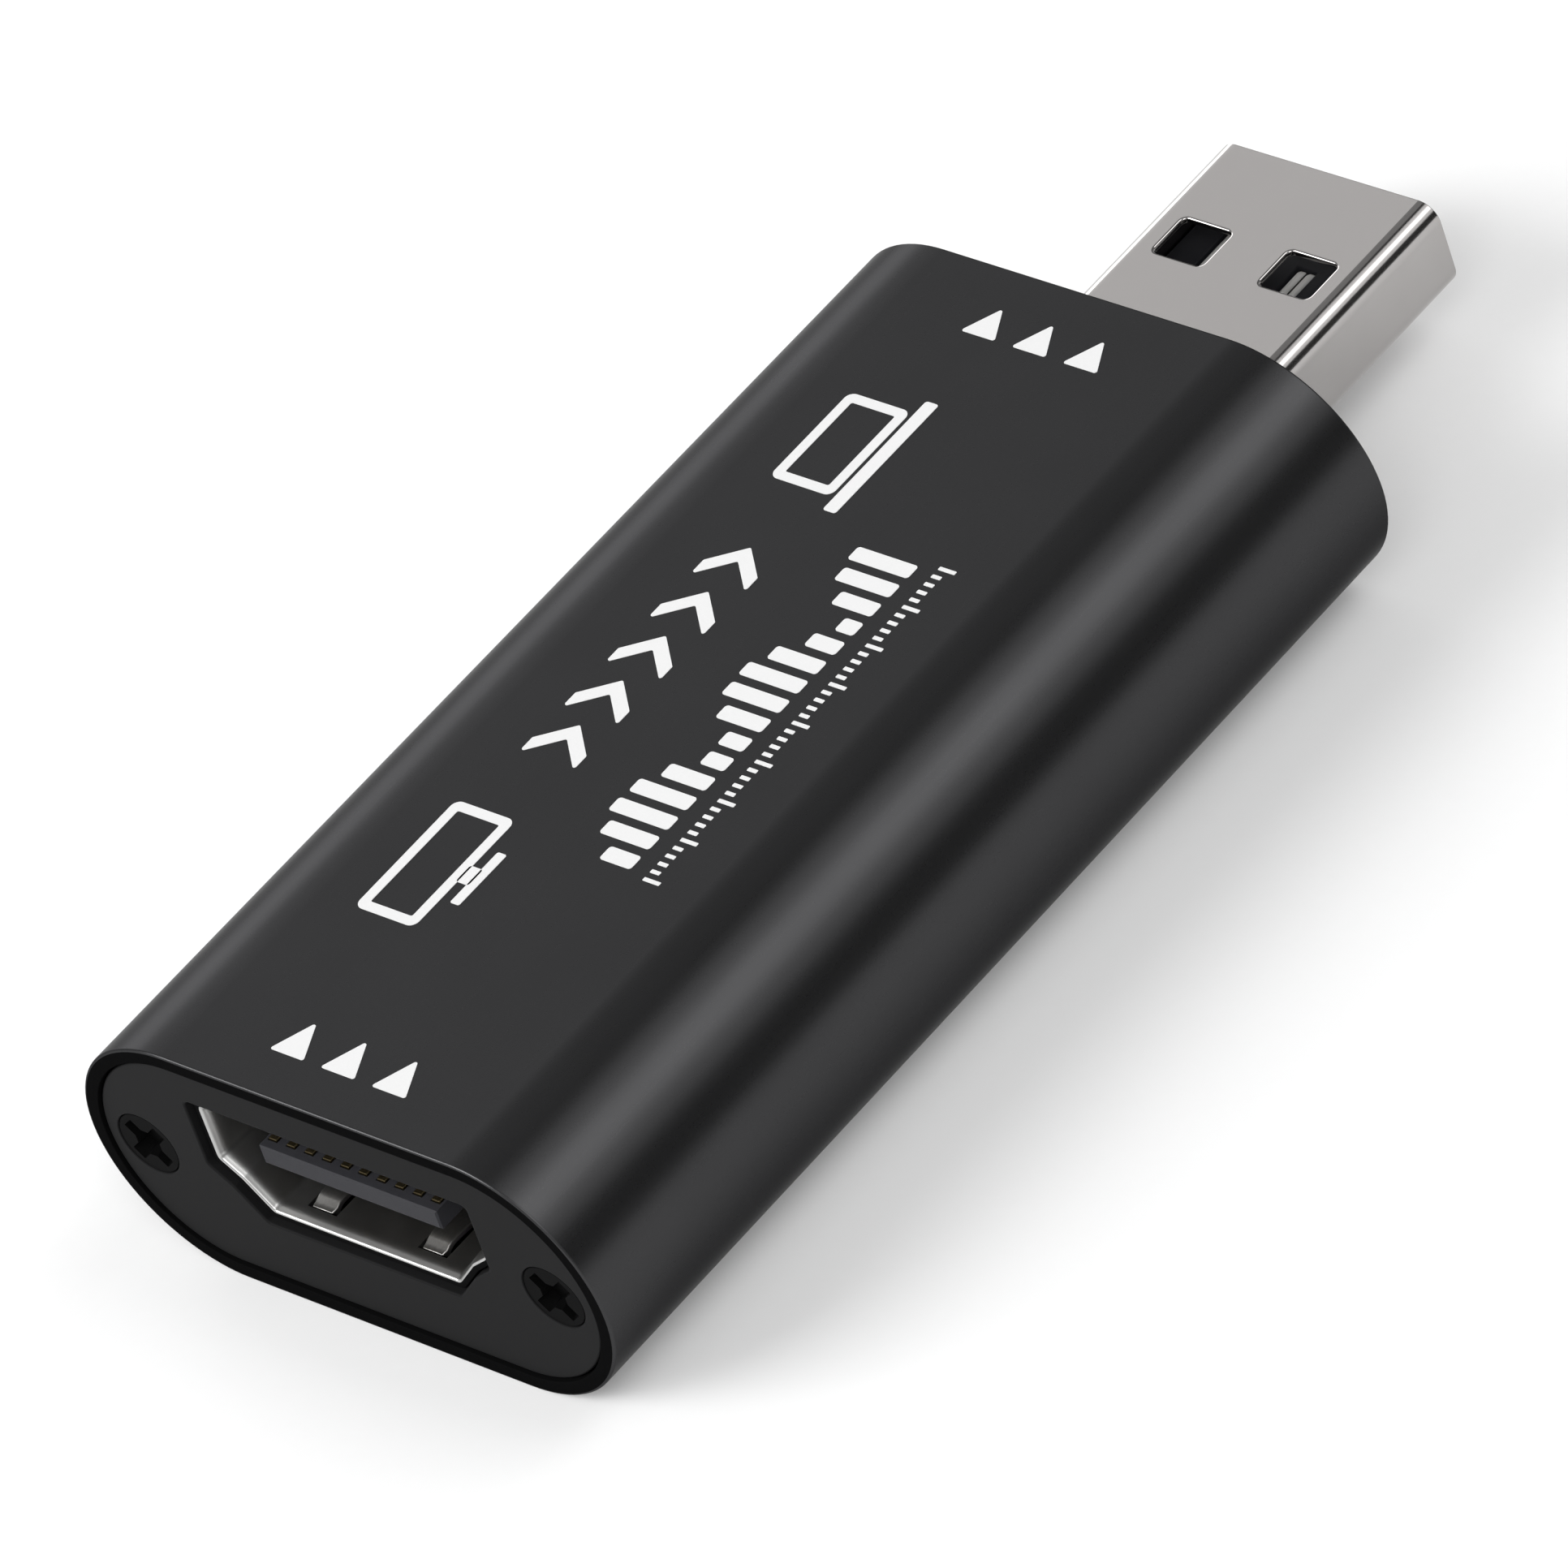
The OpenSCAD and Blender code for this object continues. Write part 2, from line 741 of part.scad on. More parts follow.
// Board
module circuit_board() {
  color("#1f5a3a")
    difference() {
      block([-board_half, board_y0, board_bottom], [board_half, board_y1, board_top]);
      block(
        [-plug_w / 2 - notch_gap, plug_back - notch_gap, board_bottom - cut],
        [plug_w / 2 + notch_gap, board_y1 + cut, board_top + cut]
      );
      block(
        [-socket_floor_w / 2 - sheet_t - sink_gap, board_y0 - cut, board_bottom - cut],
        [socket_floor_w / 2 + sheet_t + sink_gap, socket_back + insulator_fit, board_top + cut]
      );
      for (side = [0, 1])
        for (y = leg_places)
          mirror([side, 0, 0])
            block(
              [socket_w / 2 - leg_gap, socket_y + y - leg_w / 2 - leg_gap, board_bottom - cut],
              [socket_w / 2 + sheet_t + leg_gap, socket_y + y + leg_w / 2 + leg_gap, board_top + cut]
            );
    }
}

// Chips
module chip_body(w, l, t) {
  translate([-w / 2, -l / 2, board_top + chip_lift])
    cube([w, l, t]);
}

// One side's bent leads, running out along +X from a body's side at x = 0
module lead_row(places, lead_w, height) {
  for (y = places)
    translate([0, y - lead_w / 2, board_top]) {
      translate([0, 0, height - lead_t])
        cube([lead_reach - lead_foot + lead_t, lead_w, lead_t]);
      translate([lead_reach - lead_foot, 0, 0])
        cube([lead_t, lead_w, height]);
      translate([lead_reach - lead_foot, 0, 0])
        cube([lead_foot, lead_w, lead_t]);
    }
}

module capture_chip() {
  color("#232325")
    translate([chip_x, chip_y, 0])
      chip_body(chip_w, chip_w, chip_t);
}

module capture_chip_leads() {
  color("#c8c8c8")
    translate([chip_x, chip_y, 0])
      for (turn = [0:90:270])
        rotate(turn)
          translate([chip_w / 2, 0, 0])
            lead_row(row(chip_lead_count, chip_pitch), chip_lead_w, chip_lift + chip_t / 2);
}

module memory_chip() {
  color("#232325")
    translate([memory_x, memory_y, 0])
      chip_body(memory_w, memory_l, memory_t);
}

module memory_chip_leads() {
  color("#c8c8c8")
    translate([memory_x, memory_y, 0])
      for (turn = [0, 180])
        rotate(turn)
          translate([memory_w / 2, 0, 0])
            lead_row(row(memory_lead_count, memory_pitch), memory_lead_w, chip_lift + memory_t / 2);
}

// Clock crystal
module clock_crystal_base() {
  color("#d8cfb8")
    translate([crystal_x - crystal_w / 2, crystal_y - crystal_l / 2, board_top])
      cube([crystal_w, crystal_l, crystal_base_t]);
}

module clock_crystal_lid() {
  color("#c9c9c6")
    translate([
      crystal_x - crystal_w / 2 + crystal_rim,
      crystal_y - crystal_l / 2 + crystal_rim,
      board_top + crystal_base_t
    ])
      cube([crystal_w - 2 * crystal_rim, crystal_l - 2 * crystal_rim, crystal_lid_t]);
}

// Voltage regulators
module regulator_bodies() {
  color("#232325")
    for (x = row(2, regulator_spacing))
      translate([x, regulator_y, 0])
        chip_body(regulator_w, regulator_l, regulator_t);
}

module regulator_leads() {
  color("#c8c8c8")
    for (x = row(2, regulator_spacing))
      translate([x, regulator_y, 0]) {
        rotate(90)
          translate([regulator_l / 2, 0, 0])
            lead_row([0], memory_lead_w, chip_lift + regulator_t / 2);
        rotate(-90)
          translate([regulator_l / 2, 0, 0])
            lead_row(row(2, regulator_pitch), memory_lead_w, chip_lift + regulator_t / 2);
      }
}

// Small parts on the board
module surge_arrays() {
  color("#2b2b2e")
    for (x = row(surge_count, surge_pitch))
      translate([x - surge_w / 2, surge_y - surge_l / 2, board_top])
        cube([surge_w, surge_l, surge_t]);
}

module part_bodies(count, y) {
  for (x = row(count, part_pitch))
    translate([x - part_w / 2, y - part_l / 2 + cap_l, board_top])
      cube([part_w, part_l - 2 * cap_l, part_t]);
}

module part_ends(count, y) {
  for (x = row(count, part_pitch))
    for (end = [y - part_l / 2, y + part_l / 2 - cap_l])
      translate([x - part_w / 2, end, board_top])
        cube([part_w, cap_l, part_t]);
}

module capacitor_bodies() {
  color("#b89a78")
    part_bodies(capacitor_count, capacitor_y);
}

module capacitor_ends() {
  color("#c8c8c8")
    part_ends(capacitor_count, capacitor_y);
}

module resistor_bodies() {
  color("#26262a")
    part_bodies(resistor_count, resistor_y);
}

module resistor_ends() {
  color("#c8c8c8")
    part_ends(resistor_count, resistor_y);
}

module ferrite_bodies() {
  color("#4a4a4c")
    part_bodies(ferrite_count, ferrite_y);
}

module ferrite_ends() {
  color("#c8c8c8")
    part_ends(ferrite_count, ferrite_y);
}

case_sleeve();
input_end_plate();
output_end_plate();
input_plate_screws();
output_plate_screws();
video_socket_shell();
video_socket_insulator();
video_socket_upper_contacts();
video_socket_lower_contacts();
lower_left_spring_finger();
lower_right_spring_finger();
upper_left_spring_finger();
upper_right_spring_finger();
plug_shell();
plug_insulator();
plug_contacts();
circuit_board();
capture_chip();
capture_chip_leads();
memory_chip();
memory_chip_leads();
clock_crystal_base();
clock_crystal_lid();
regulator_bodies();
regulator_leads();
surge_arrays();
capacitor_bodies();
capacitor_ends();
resistor_bodies();
resistor_ends();
ferrite_bodies();
ferrite_ends();
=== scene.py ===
"""Looks of a video capture stick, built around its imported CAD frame.

Sizes are in millimetres until a mesh is finished; the frame and every object are in metres.
+X is across the stick, +Y points to the plug and +Z is up from the resting face.
"""

import math

import bmesh
import bpy
from mathutils import Matrix, Vector


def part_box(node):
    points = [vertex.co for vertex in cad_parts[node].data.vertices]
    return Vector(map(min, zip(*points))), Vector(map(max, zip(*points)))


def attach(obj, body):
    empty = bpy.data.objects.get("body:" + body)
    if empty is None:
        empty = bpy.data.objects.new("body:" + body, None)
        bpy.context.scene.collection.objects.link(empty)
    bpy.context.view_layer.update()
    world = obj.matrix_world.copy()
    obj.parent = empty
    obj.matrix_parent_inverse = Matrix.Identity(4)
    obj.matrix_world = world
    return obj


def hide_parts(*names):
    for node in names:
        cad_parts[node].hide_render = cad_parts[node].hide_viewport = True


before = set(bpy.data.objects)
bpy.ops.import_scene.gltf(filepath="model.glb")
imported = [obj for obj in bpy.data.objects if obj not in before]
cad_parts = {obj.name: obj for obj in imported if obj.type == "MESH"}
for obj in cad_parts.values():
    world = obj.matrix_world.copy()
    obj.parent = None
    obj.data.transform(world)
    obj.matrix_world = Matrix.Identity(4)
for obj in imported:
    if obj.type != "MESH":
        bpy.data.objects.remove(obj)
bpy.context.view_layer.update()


# Sleeve: an aluminium extrusion with a flat top and round sides, cut to length, bead blasted
# and dyed black by anodising. Its cut ends have a small radius outside and hold the end plates.
# Two screw channels and two pairs of board rails run along its inside.
MM = 0.001
WELD = 1e-4
STICK = "stick"


def span(node):
    """Lowest and highest corner of a CAD node in millimetres."""
    low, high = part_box(node)
    return low / MM, high / MM


def rectangle(width, height, centre=(0, 0)):
    """Corners of a rectangle, anticlockwise from its right top corner."""
    x, y = centre
    return [
        Vector((x + width / 2, y + height / 2)),
        Vector((x - width / 2, y + height / 2)),
        Vector((x - width / 2, y - height / 2)),
        Vector((x + width / 2, y - height / 2)),
    ]


def sides(corners, i):
    """Unit directions of the sides before and after corner i."""
    before = corners[i] - corners[i - 1]
    after = corners[(i + 1) % len(corners)] - corners[i]
    return before.normalized(), after.normalized()


def softened(corners, radius, steps=6):
    """A closed outline whose corners are arcs; a point on a straight stretch stays one point."""
    straight = 1e-5
    points = []
    for i, corner in enumerate(corners):
        before, after = sides(corners, i)
        bend = math.atan2(before.cross(after), before.dot(after))
        if abs(bend) < straight:
            points.append(corner)
            continue
        start = corner - before * radius * math.tan(abs(bend) / 2)
        centre = start + Vector((-before.y, before.x)) * math.copysign(radius, bend)
        for k in range(steps + 1):
            points.append(centre + Matrix.Rotation(bend * k / steps, 2) @ (start - centre))
    return points


def rounding(start, corner, end, steps=4):
    """Points of a quarter round from start to end, which lie on the two legs of a corner."""
    start, corner, end = Vector(start), Vector(corner), Vector(end)
    centre = start + end - corner
    angles = [math.pi / 2 * k / steps for k in range(steps + 1)]
    return [centre + (corner - end) * math.cos(a) + (corner - start) * math.sin(a) for a in angles]


def lengthwise(point, y):
    """An outline point in X and Z, put at a place along the stick."""
    return Vector((point[0], y, point[1]))


def upright(point, z):
    """An outline point in X and Y, put at a height."""
    return Vector((point[0], point[1], z))


def loop(bm, outline, depth, place=lengthwise):
    return [bm.verts.new(place(point, depth)) for point in outline]


def skin(bm, loops, ring=False):
    """Rows of quads between loops of equal length; a ring also joins the last loop to the first."""
    following = loops[1:] + loops[:1] if ring else loops[1:]
    rows = []
    for lower, upper in zip(loops, following):
        corners = zip(lower, lower[1:] + lower[:1], upper[1:] + upper[:1], upper)
        rows.append([bm.faces.new(quad) for quad in corners])
        for face in rows[-1]:
            face.smooth = True
    return rows


def brick(bm, low, high):
    """A plain block between two corners."""
    low, high = Vector(low), Vector(high)
    size = high - low
    middle = (low + high) / 2
    ends = [loop(bm, rectangle(size.x, size.z, (middle.x, middle.z)), y) for y in (low.y, high.y)]
    skin(bm, ends)
    for end in ends:
        bm.faces.new(end)


def piece(name, bm, body, finishes, nodes, bevel=0.0):
    """Turns a mesh in millimetres into a shown piece that stands for CAD nodes and rides on a body."""
    crease = math.radians(38)
    bevel_crease = math.radians(40)
    bmesh.ops.remove_doubles(bm, verts=bm.verts, dist=WELD)
    bmesh.ops.recalc_face_normals(bm, faces=bm.faces)
    for edge in bm.edges:
        rounded = all(face.smooth for face in edge.link_faces)
        edge.smooth = rounded and edge.calc_face_angle(0) < crease
    bm.transform(Matrix.Scale(MM, 4))
    mesh = bpy.data.meshes.new(name)
    bm.to_mesh(mesh)
    bm.free()
    for made in finishes:
        mesh.materials.append(made.owner)
    shown = bpy.data.objects.new(name, mesh)
    bpy.context.scene.collection.objects.link(shown)
    if bevel:
        edges = shown.modifiers.new("soft_edges", "BEVEL")
        edges.width = bevel * MM
        edges.segments = 2
        edges.limit_method = "ANGLE"
        edges.angle_limit = bevel_crease
    even = shown.modifiers.new("even_shading", "WEIGHTED_NORMAL")
    even.keep_sharp = True
    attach(shown, body)
    if nodes:
        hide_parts(*nodes)
    return shown


class Value:
    """One output of a node tree; sums on it add Math nodes, and node() adds any other node."""

    def __init__(self, owner, socket=None):
        self.owner = owner
        self.socket = socket

    def node(self, kind, settings=None, inputs=None, output=0):
        made = self.owner.node_tree.nodes.new("ShaderNode" + kind)
        for name, value in (settings or {}).items():
            setattr(made, name, value)
        for name, value in (inputs or {}).items():
            if isinstance(value, Value):
                self.owner.node_tree.links.new(value.socket, made.inputs[name])
            else:
                made.inputs[name].default_value = value
        return Value(self.owner, made.outputs[output])

    def maths(self, operation, first, second=0.0):
        return self.node("Math", {"operation": operation}, {0: first, 1: second})

    def __add__(self, other):
        return self.maths("ADD", self, other)

    def __radd__(self, other):
        return self.maths("ADD", other, self)

    def __sub__(self, other):
        return self.maths("SUBTRACT", self, other)

    def __rsub__(self, other):
        return self.maths("SUBTRACT", other, self)

    def __mul__(self, other):
        return self.maths("MULTIPLY", self, other)

    def __rmul__(self, other):
        return self.maths("MULTIPLY", other, self)

    def noise(self, grain, stretch=(1, 1, 1), detail=3.0):
        """Noise over the piece with grains of a size in millimetres, stretched along the axes."""
        place = self.node("TexCoord", output="Object")
        scale = tuple(1 / (grain * MM * s) for s in stretch)
        place = self.node("VectorMath", {"operation": "MULTIPLY"}, {0: place, 1: scale})
        return self.node("TexNoise", None, {"Vector": place, "Scale": 1.0, "Detail": detail}, "Fac")

    def ramp(self, low, high):
        """0 below low and 1 above high, with a soft step between."""
        settings = {"interpolation_type": "SMOOTHSTEP"}
        return self.node("MapRange", settings, {"Value": self, "From Min": low, "From Max": high})

    def tint(self, dark, light):
        """A colour between two, with this value as the share of the second."""
        return self.node("Mix", {"data_type": "RGBA"}, {0: self, 6: (*dark, 1), 7: (*light, 1)}, 2)

    def bump(self, height):
        """Takes this value as a relief of the given height in millimetres."""
        relief = {"Height": self, "Distance": height * MM, "Strength": 1.0}
        self.node("Bump", None, relief).to("Normal")

    def to(self, name):
        shader = self.owner.node_tree.nodes["Principled BSDF"]
        self.owner.node_tree.links.new(self.socket, shader.inputs[name])


def finish(name, **constants):
    """A new material with constant shader values, as a Value to start its nodes from."""
    material = bpy.data.materials.new(name)
    material.use_nodes = True
    shader = material.node_tree.nodes["Principled BSDF"]
    for socket, value in constants.items():
        shader.inputs[socket.replace("_", " ")].default_value = value
    return Value(material)


def grey(level):
    return (level, level, level * 1.03)


sleeve_low, sleeve_high = span("case_sleeve")
plate_low, plate_high = span("input_end_plate")
sleeve_w = sleeve_high.x - sleeve_low.x
sleeve_h = sleeve_high.z - sleeve_low.z
sleeve_mid = sleeve_h / 2
seat_in = plate_high.y
seat_out = span("output_end_plate")[0].y
plate_fit = 0.08
plate_inset = plate_low.x - sleeve_low.x
mouth_wall = plate_inset - plate_fit
sleeve_wall = 1.2
print_t = 0.02
rim_round = 0.12
mouth_round = 0.05

anodising = finish("black_anodising", Metallic=0.86, Specular_IOR_Level=0.0,
                   Specular_Tint=(0.45, 0.45, 0.45, 1))
blasting = anodising.noise(0.09)
draw_lines = anodising.noise(0.12, stretch=(1, 60, 1))
cloud = anodising.noise(6.0)
(0.6 * cloud + 0.4 * blasting).tint(grey(0.045), grey(0.056)).to("Base Color")
(0.24 + 0.05 * blasting + 0.04 * draw_lines).to("Roughness")
(0.7 * blasting + 0.3 * draw_lines).bump(0.0012)

# The ends' rim gets a matt finish painted near black, far darker than the anodising: painted shade.
rim_painted_shade = finish("rim_painted_shade", Specular_IOR_Level=0.0)
saw_marks = rim_painted_shade.noise(0.05, stretch=(1, 1, 8))
saw_marks.tint(grey(0.003), grey(0.006)).to("Base Color")
(0.55 + 0.15 * saw_marks).to("Roughness")
saw_marks.bump(0.001)


def stadium(inset):
    """The sleeve's outline, moved inwards."""
    width = sleeve_w - 2 * inset
    height = sleeve_h - 2 * inset
    return softened(rectangle(width, height, (0, sleeve_mid)), height / 2, 24)


def rim(y, inward):
    """Stations (inset, y) of an end of the sleeve, from inside its mouth to its outside."""
    mouth_edge = (mouth_wall, y)
    outer_edge = (print_t, y)
    return [
        *rounding((mouth_wall, y + inward * mouth_round), mouth_edge, (mouth_wall - mouth_round, y)),
        *rounding((print_t + rim_round, y), outer_edge, (print_t, y + inward * rim_round)),
    ]


bm = bmesh.new()
stations = [
    Vector((sleeve_wall, seat_in)), Vector((mouth_wall, seat_in)), *rim(sleeve_low.y, 1),
    *reversed(rim(sleeve_high.y, -1)), Vector((mouth_wall, seat_out)), Vector((sleeve_wall, seat_out)),
]
rows = skin(bm, [loop(bm, stadium(inset), y) for inset, y in stations], ring=True)
painted_shade_from = print_t + rim_round - WELD
# Rows set in past the outer rounding (the rim's face, the mouths and the inside) take the painted shade
# finish.
for row, start, end in zip(rows, stations, stations[1:] + stations[:1]):
    if min(start.x, end.x) > painted_shade_from:
        for face in row:
            face.material_index = 1

screw_low, screw_high = span("input_plate_screws")
screw_r = (screw_high.z - screw_low.z) / 2
screw_x = screw_high.x - screw_r
board_low, board_high = span("circuit_board")
board_fit = 0.1
channel_r = 1.59
bore_r = 0.84
web_t = 1.6
rail_reach = 1.5
rail_t = 0.8
wall_bite = 0.3


def circle(centre, radius, steps=48):
    turns = [2 * math.pi * k / steps for k in range(steps)]
    return [Vector((centre[0] + radius * math.cos(a), centre[1] + radius * math.sin(a))) for a in turns]


def inner_face(z):
    """Half width of the sleeve's inside at a height."""
    radius = sleeve_mid - sleeve_wall
    return sleeve_w / 2 - sleeve_mid + math.sqrt(radius ** 2 - (z - sleeve_mid) ** 2)


for side in (-1, 1):
    tube = [(channel_r, seat_in), (bore_r, seat_in), (bore_r, seat_out), (channel_r, seat_out)]
    centre = (side * screw_x, sleeve_mid)
    skin(bm, [loop(bm, circle(centre, radius), y) for radius, y in tube], ring=True)
    ribs = [
        (screw_x + bore_r + wall_bite, sleeve_w / 2 - sleeve_wall + wall_bite, sleeve_mid - web_t / 2, web_t),
        (board_high.x - rail_reach, inner_face(board_high.z + board_fit) + wall_bite,
         board_high.z + board_fit, rail_t),
        (board_high.x - rail_reach, inner_face(board_low.z - board_fit - rail_t) + wall_bite,
         board_low.z - board_fit - rail_t, rail_t),
    ]
    for start, end, z, thickness in ribs:
        across = sorted((side * start, side * end))
        brick(bm, (across[0], seat_in, z), (across[1], seat_out, z + thickness))
piece("sleeve_extrusion", bm, STICK, [anodising, rim_painted_shade], ["case_sleeve"])


# Board: glass-fibre laminate under green lacquer, which slides along the sleeve's rails and
# carries both connectors. Its bare copper shows through the lacquer as a faint mesh of tracks.
def dress(made, *nodes):
    """Gives CAD nodes a finish of their own."""
    for node in nodes:
        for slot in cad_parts[node].material_slots:
            slot.material = made.owner


laminate = finish("green_lacquer", IOR=1.5, Coat_Roughness=0.15)
weave = laminate.noise(0.25, stretch=(1, 6, 1)) + laminate.noise(0.25, stretch=(6, 1, 1))
along_tracks = laminate.noise(0.45, stretch=(1, 22, 1), detail=0.0).ramp(0.55, 0.58)
across_tracks = laminate.noise(0.45, stretch=(22, 1, 1), detail=0.0).ramp(0.62, 0.65)
tracks = laminate.maths("MAXIMUM", along_tracks, across_tracks)
(0.25 * weave + 0.5 * tracks).tint((0.006, 0.05, 0.022), (0.02, 0.13, 0.05)).to("Base Color")
(0.3 + 0.1 * weave).to("Roughness")
(tracks + 0.2 * weave).bump(0.01)
dress(laminate, "circuit_board")


# Parts on the board: moulded black chips on tinned leads, ceramic capacitors, resistors and
# beads with tinned end caps, and a clock crystal under a metal lid. All are soldered by reflow.
def mottled(name, dark, light, roughness, grain, relief, **constants):
    """A finish whose colour wanders between two tones, with a fine relief."""
    made = finish(name, **constants)
    speckle = made.noise(grain)
    cloud = made.noise(grain * 12)
    (0.6 * speckle + 0.4 * cloud).tint(dark, light).to("Base Color")
    (roughness - 0.06 + 0.12 * speckle).to("Roughness")
    speckle.bump(relief)
    return made


epoxy = mottled("moulded_epoxy", grey(0.012), grey(0.022), 0.55, 0.04, 0.002)
tin = mottled("tinned_lead", grey(0.5), grey(0.68), 0.28, 0.05, 0.001, Metallic=1.0)
pale_ceramic = mottled("pale_ceramic", (0.5, 0.43, 0.31), (0.66, 0.59, 0.46), 0.6, 0.05, 0.001)
tan_ceramic = mottled("tan_ceramic", (0.24, 0.15, 0.08), (0.36, 0.24, 0.13), 0.5, 0.05, 0.001)
dark_glaze = mottled("dark_glaze", grey(0.01), grey(0.02), 0.2, 0.05, 0.0005)
ferrite = mottled("sintered_ferrite", grey(0.03), grey(0.055), 0.6, 0.04, 0.002)
dress(tin, "capture_chip_leads", "memory_chip_leads", "regulator_leads")

mould_draft = 0.05
mould_round = 0.06
mark_r = 0.12
mark_depth = 0.03
block_edge = 0.04


def blocks(node):
    """Lowest and highest corner of each separate block of a CAD node, in millimetres."""
    source = bmesh.new()
    source.from_mesh(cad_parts[node].data)
    source.transform(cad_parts[node].matrix_world)
    bmesh.ops.remove_doubles(source, verts=source.verts, dist=1e-6)
    seen = set()
    found = []
    for first in source.verts:
        if first in seen:
            continue
        seen.add(first)
        reached = [first]
        for vert in reached:
            for edge in vert.link_edges:
                other = edge.other_vert(vert)
                if other not in seen:
                    seen.add(other)
                    reached.append(other)
        places = [vert.co / MM for vert in reached]
        low = Vector([min(place[axis] for place in places) for axis in range(3)])
        high = Vector([max(place[axis] for place in places) for axis in range(3)])
        found.append((low, high))
    source.free()
    return found


def fill(bm, *loops):
    """Flat faces between an outer loop and the loops of its holes."""
    edges = []
    for verts in loops:
        for a, b in zip(verts, verts[1:] + verts[:1]):
            edges.append(bm.edges.get((a, b)) or bm.edges.new((a, b)))
    filled = bmesh.ops.triangle_fill(bm, use_beauty=True, edges=edges)["geom"]
    faces = [part for part in filled if isinstance(part, bmesh.types.BMFace)]
    for face in faces:
        face.smooth = False
    return faces


def moulding(bm, low, high):
    """A chip's body: sides that slope away from the parting line, and a round mark by its first lead."""
    size = high - low
    middle = (low + high) / 2
    body = []
    for z, inset in ((low.z, mould_draft), (middle.z, 0), (high.z, mould_draft)):
        box = rectangle(size.x - 2 * inset, size.y - 2 * inset, (middle.x, middle.y))
        body.append(loop(bm, softened(box, mould_round, 3), z, upright))
    skin(bm, body)
    bm.faces.new(body[0])
    mark = circle((low.x + mould_draft + 2 * mark_r, low.y + mould_draft + 2 * mark_r), mark_r, 16)
    mark_loops = [loop(bm, mark, z, upright) for z in (high.z, high.z - mark_depth)]
    skin(bm, mark_loops)
    bm.faces.new(mark_loops[-1])
    fill(bm, body[-1], mark_loops[0])


for name, node in (
    ("capture_chip_moulding", "capture_chip"), ("memory_chip_moulding", "memory_chip"),
    ("regulator_mouldings", "regulator_bodies"), ("surge_array_mouldings", "surge_arrays"),
):
    bm = bmesh.new()
    for low, high in blocks(node):
        moulding(bm, low, high)
    piece(name, bm, STICK, [epoxy], [node])
for name, node, slot, made in (
    ("crystal_base_block", "clock_crystal_base", "crystal_ceramic", pale_ceramic),
    ("crystal_lid_block", "clock_crystal_lid", "nickel_sheet", tin),
    ("capacitor_blocks", "capacitor_bodies", "capacitor_ceramic", tan_ceramic),
    ("capacitor_end_caps", "capacitor_ends", "tinned_lead", tin),
    ("resistor_blocks", "resistor_bodies", "resistor_glaze", dark_glaze),
    ("resistor_end_caps", "resistor_ends", "tinned_lead", tin),
    ("ferrite_blocks", "ferrite_bodies", "ferrite_ceramic", ferrite),
    ("ferrite_end_caps", "ferrite_ends", "tinned_lead", tin),
):
    bm = bmesh.new()
    for low, high in blocks(node):
        brick(bm, low, high)
    piece(name, bm, STICK, [made], [node], bevel=block_edge)


# Socket shell: sheet steel folded round and nickel plated, with a slightly flared mouth, a bright
# lip, slanted shoulders and four legs soldered through the board. It is sunk into a cut-out of
# the board, and slots in its floor and roof free the spring fingers.
shell_low, shell_high = span("video_socket_shell")
finger_low, finger_high = span("lower_right_spring_finger")
sheet_t = 0.3
bell = 0.2
bell_depth = 0.3
mouth_flare = 0.1
flare_steps = 6
lip_round = 0.12
edge_round = 0.05
socket_round = 0.35
socket_h = 4.9
side_h = 2.75
shoulder_w = 0.95
shoulder_h = 0.75
floor_w = 10.1
socket_mouth = shell_low.y
socket_back = shell_high.y
socket_w = shell_high.x - shell_low.x - 2 * (bell + sheet_t)
socket_top = shell_high.z - bell - sheet_t
socket_floor = socket_top - socket_h
socket_mid = (socket_top + socket_floor) / 2
finger_x = (finger_low.x + finger_high.x) / 2
finger_w = finger_high.x - finger_low.x
finger_slot = 0.2
slot_front = finger_low.y - finger_slot
root_gap = 0.06
slot_back = finger_high.y + root_gap
slot_edges = [finger_x - finger_w / 2 - finger_slot, finger_x + finger_w / 2 + finger_slot]
leg_w = 1.4
leg_places = (3.4, 9.4)


def grown(corners, margin):
    """An outline moved outwards, with its corners kept."""
    moved = []
    for i, corner in enumerate(corners):
        before, after = sides(corners, i)
        outward = Vector((before.y, -before.x)) + Vector((after.y, -after.x))
        moved.append(corner + outward * 2 * margin / outward.length_squared)
    return moved


def socket_outline(margin, radius=socket_round):
    """The socket's inside, moved outwards, with a point at each edge of the finger slots."""
    half = socket_w / 2
    knee = socket_top - side_h
    slots = sorted([*slot_edges, *[-x for x in slot_edges]])
    right = [Vector((half - shoulder_w, knee - shoulder_h)), Vector((half, knee)), Vector((half, socket_top))]
    left = [Vector((-p.x, p.y)) for p in reversed(right)]
    roof = [Vector((x, socket_top)) for x in reversed(slots)]
    floor = [Vector((x, socket_floor)) for x in [-floor_w / 2, *slots, floor_w / 2]]
    return softened(grown(right[2:] + roof + left + floor + right[:2], margin), radius)


def pierce(bm, inner, outer):
    """Cuts a hole through two facing quads of a sheet and closes its edge."""
    facing = {vert: min(outer.verts, key=lambda v: (v.co - vert.co).length) for vert in inner.verts}
    ring = list(inner.verts)
    bm.faces.remove(inner)
    bm.faces.remove(outer)
    for a, b in zip(ring, ring[1:] + ring[:1]):
        bm.faces.new((a, b, facing[b], facing[a]))


nickel = finish("bright_nickel", Metallic=1.0)
streaks = nickel.noise(0.03, stretch=(1, 12, 1))
stains = nickel.noise(1.2)
(0.3 * streaks + 0.7 * stains).tint((0.48, 0.478, 0.472), (0.58, 0.577, 0.568)).to("Base Color")
(0.26 + 0.05 * streaks + 0.06 * stains).to("Roughness")
streaks.bump(0.0003)

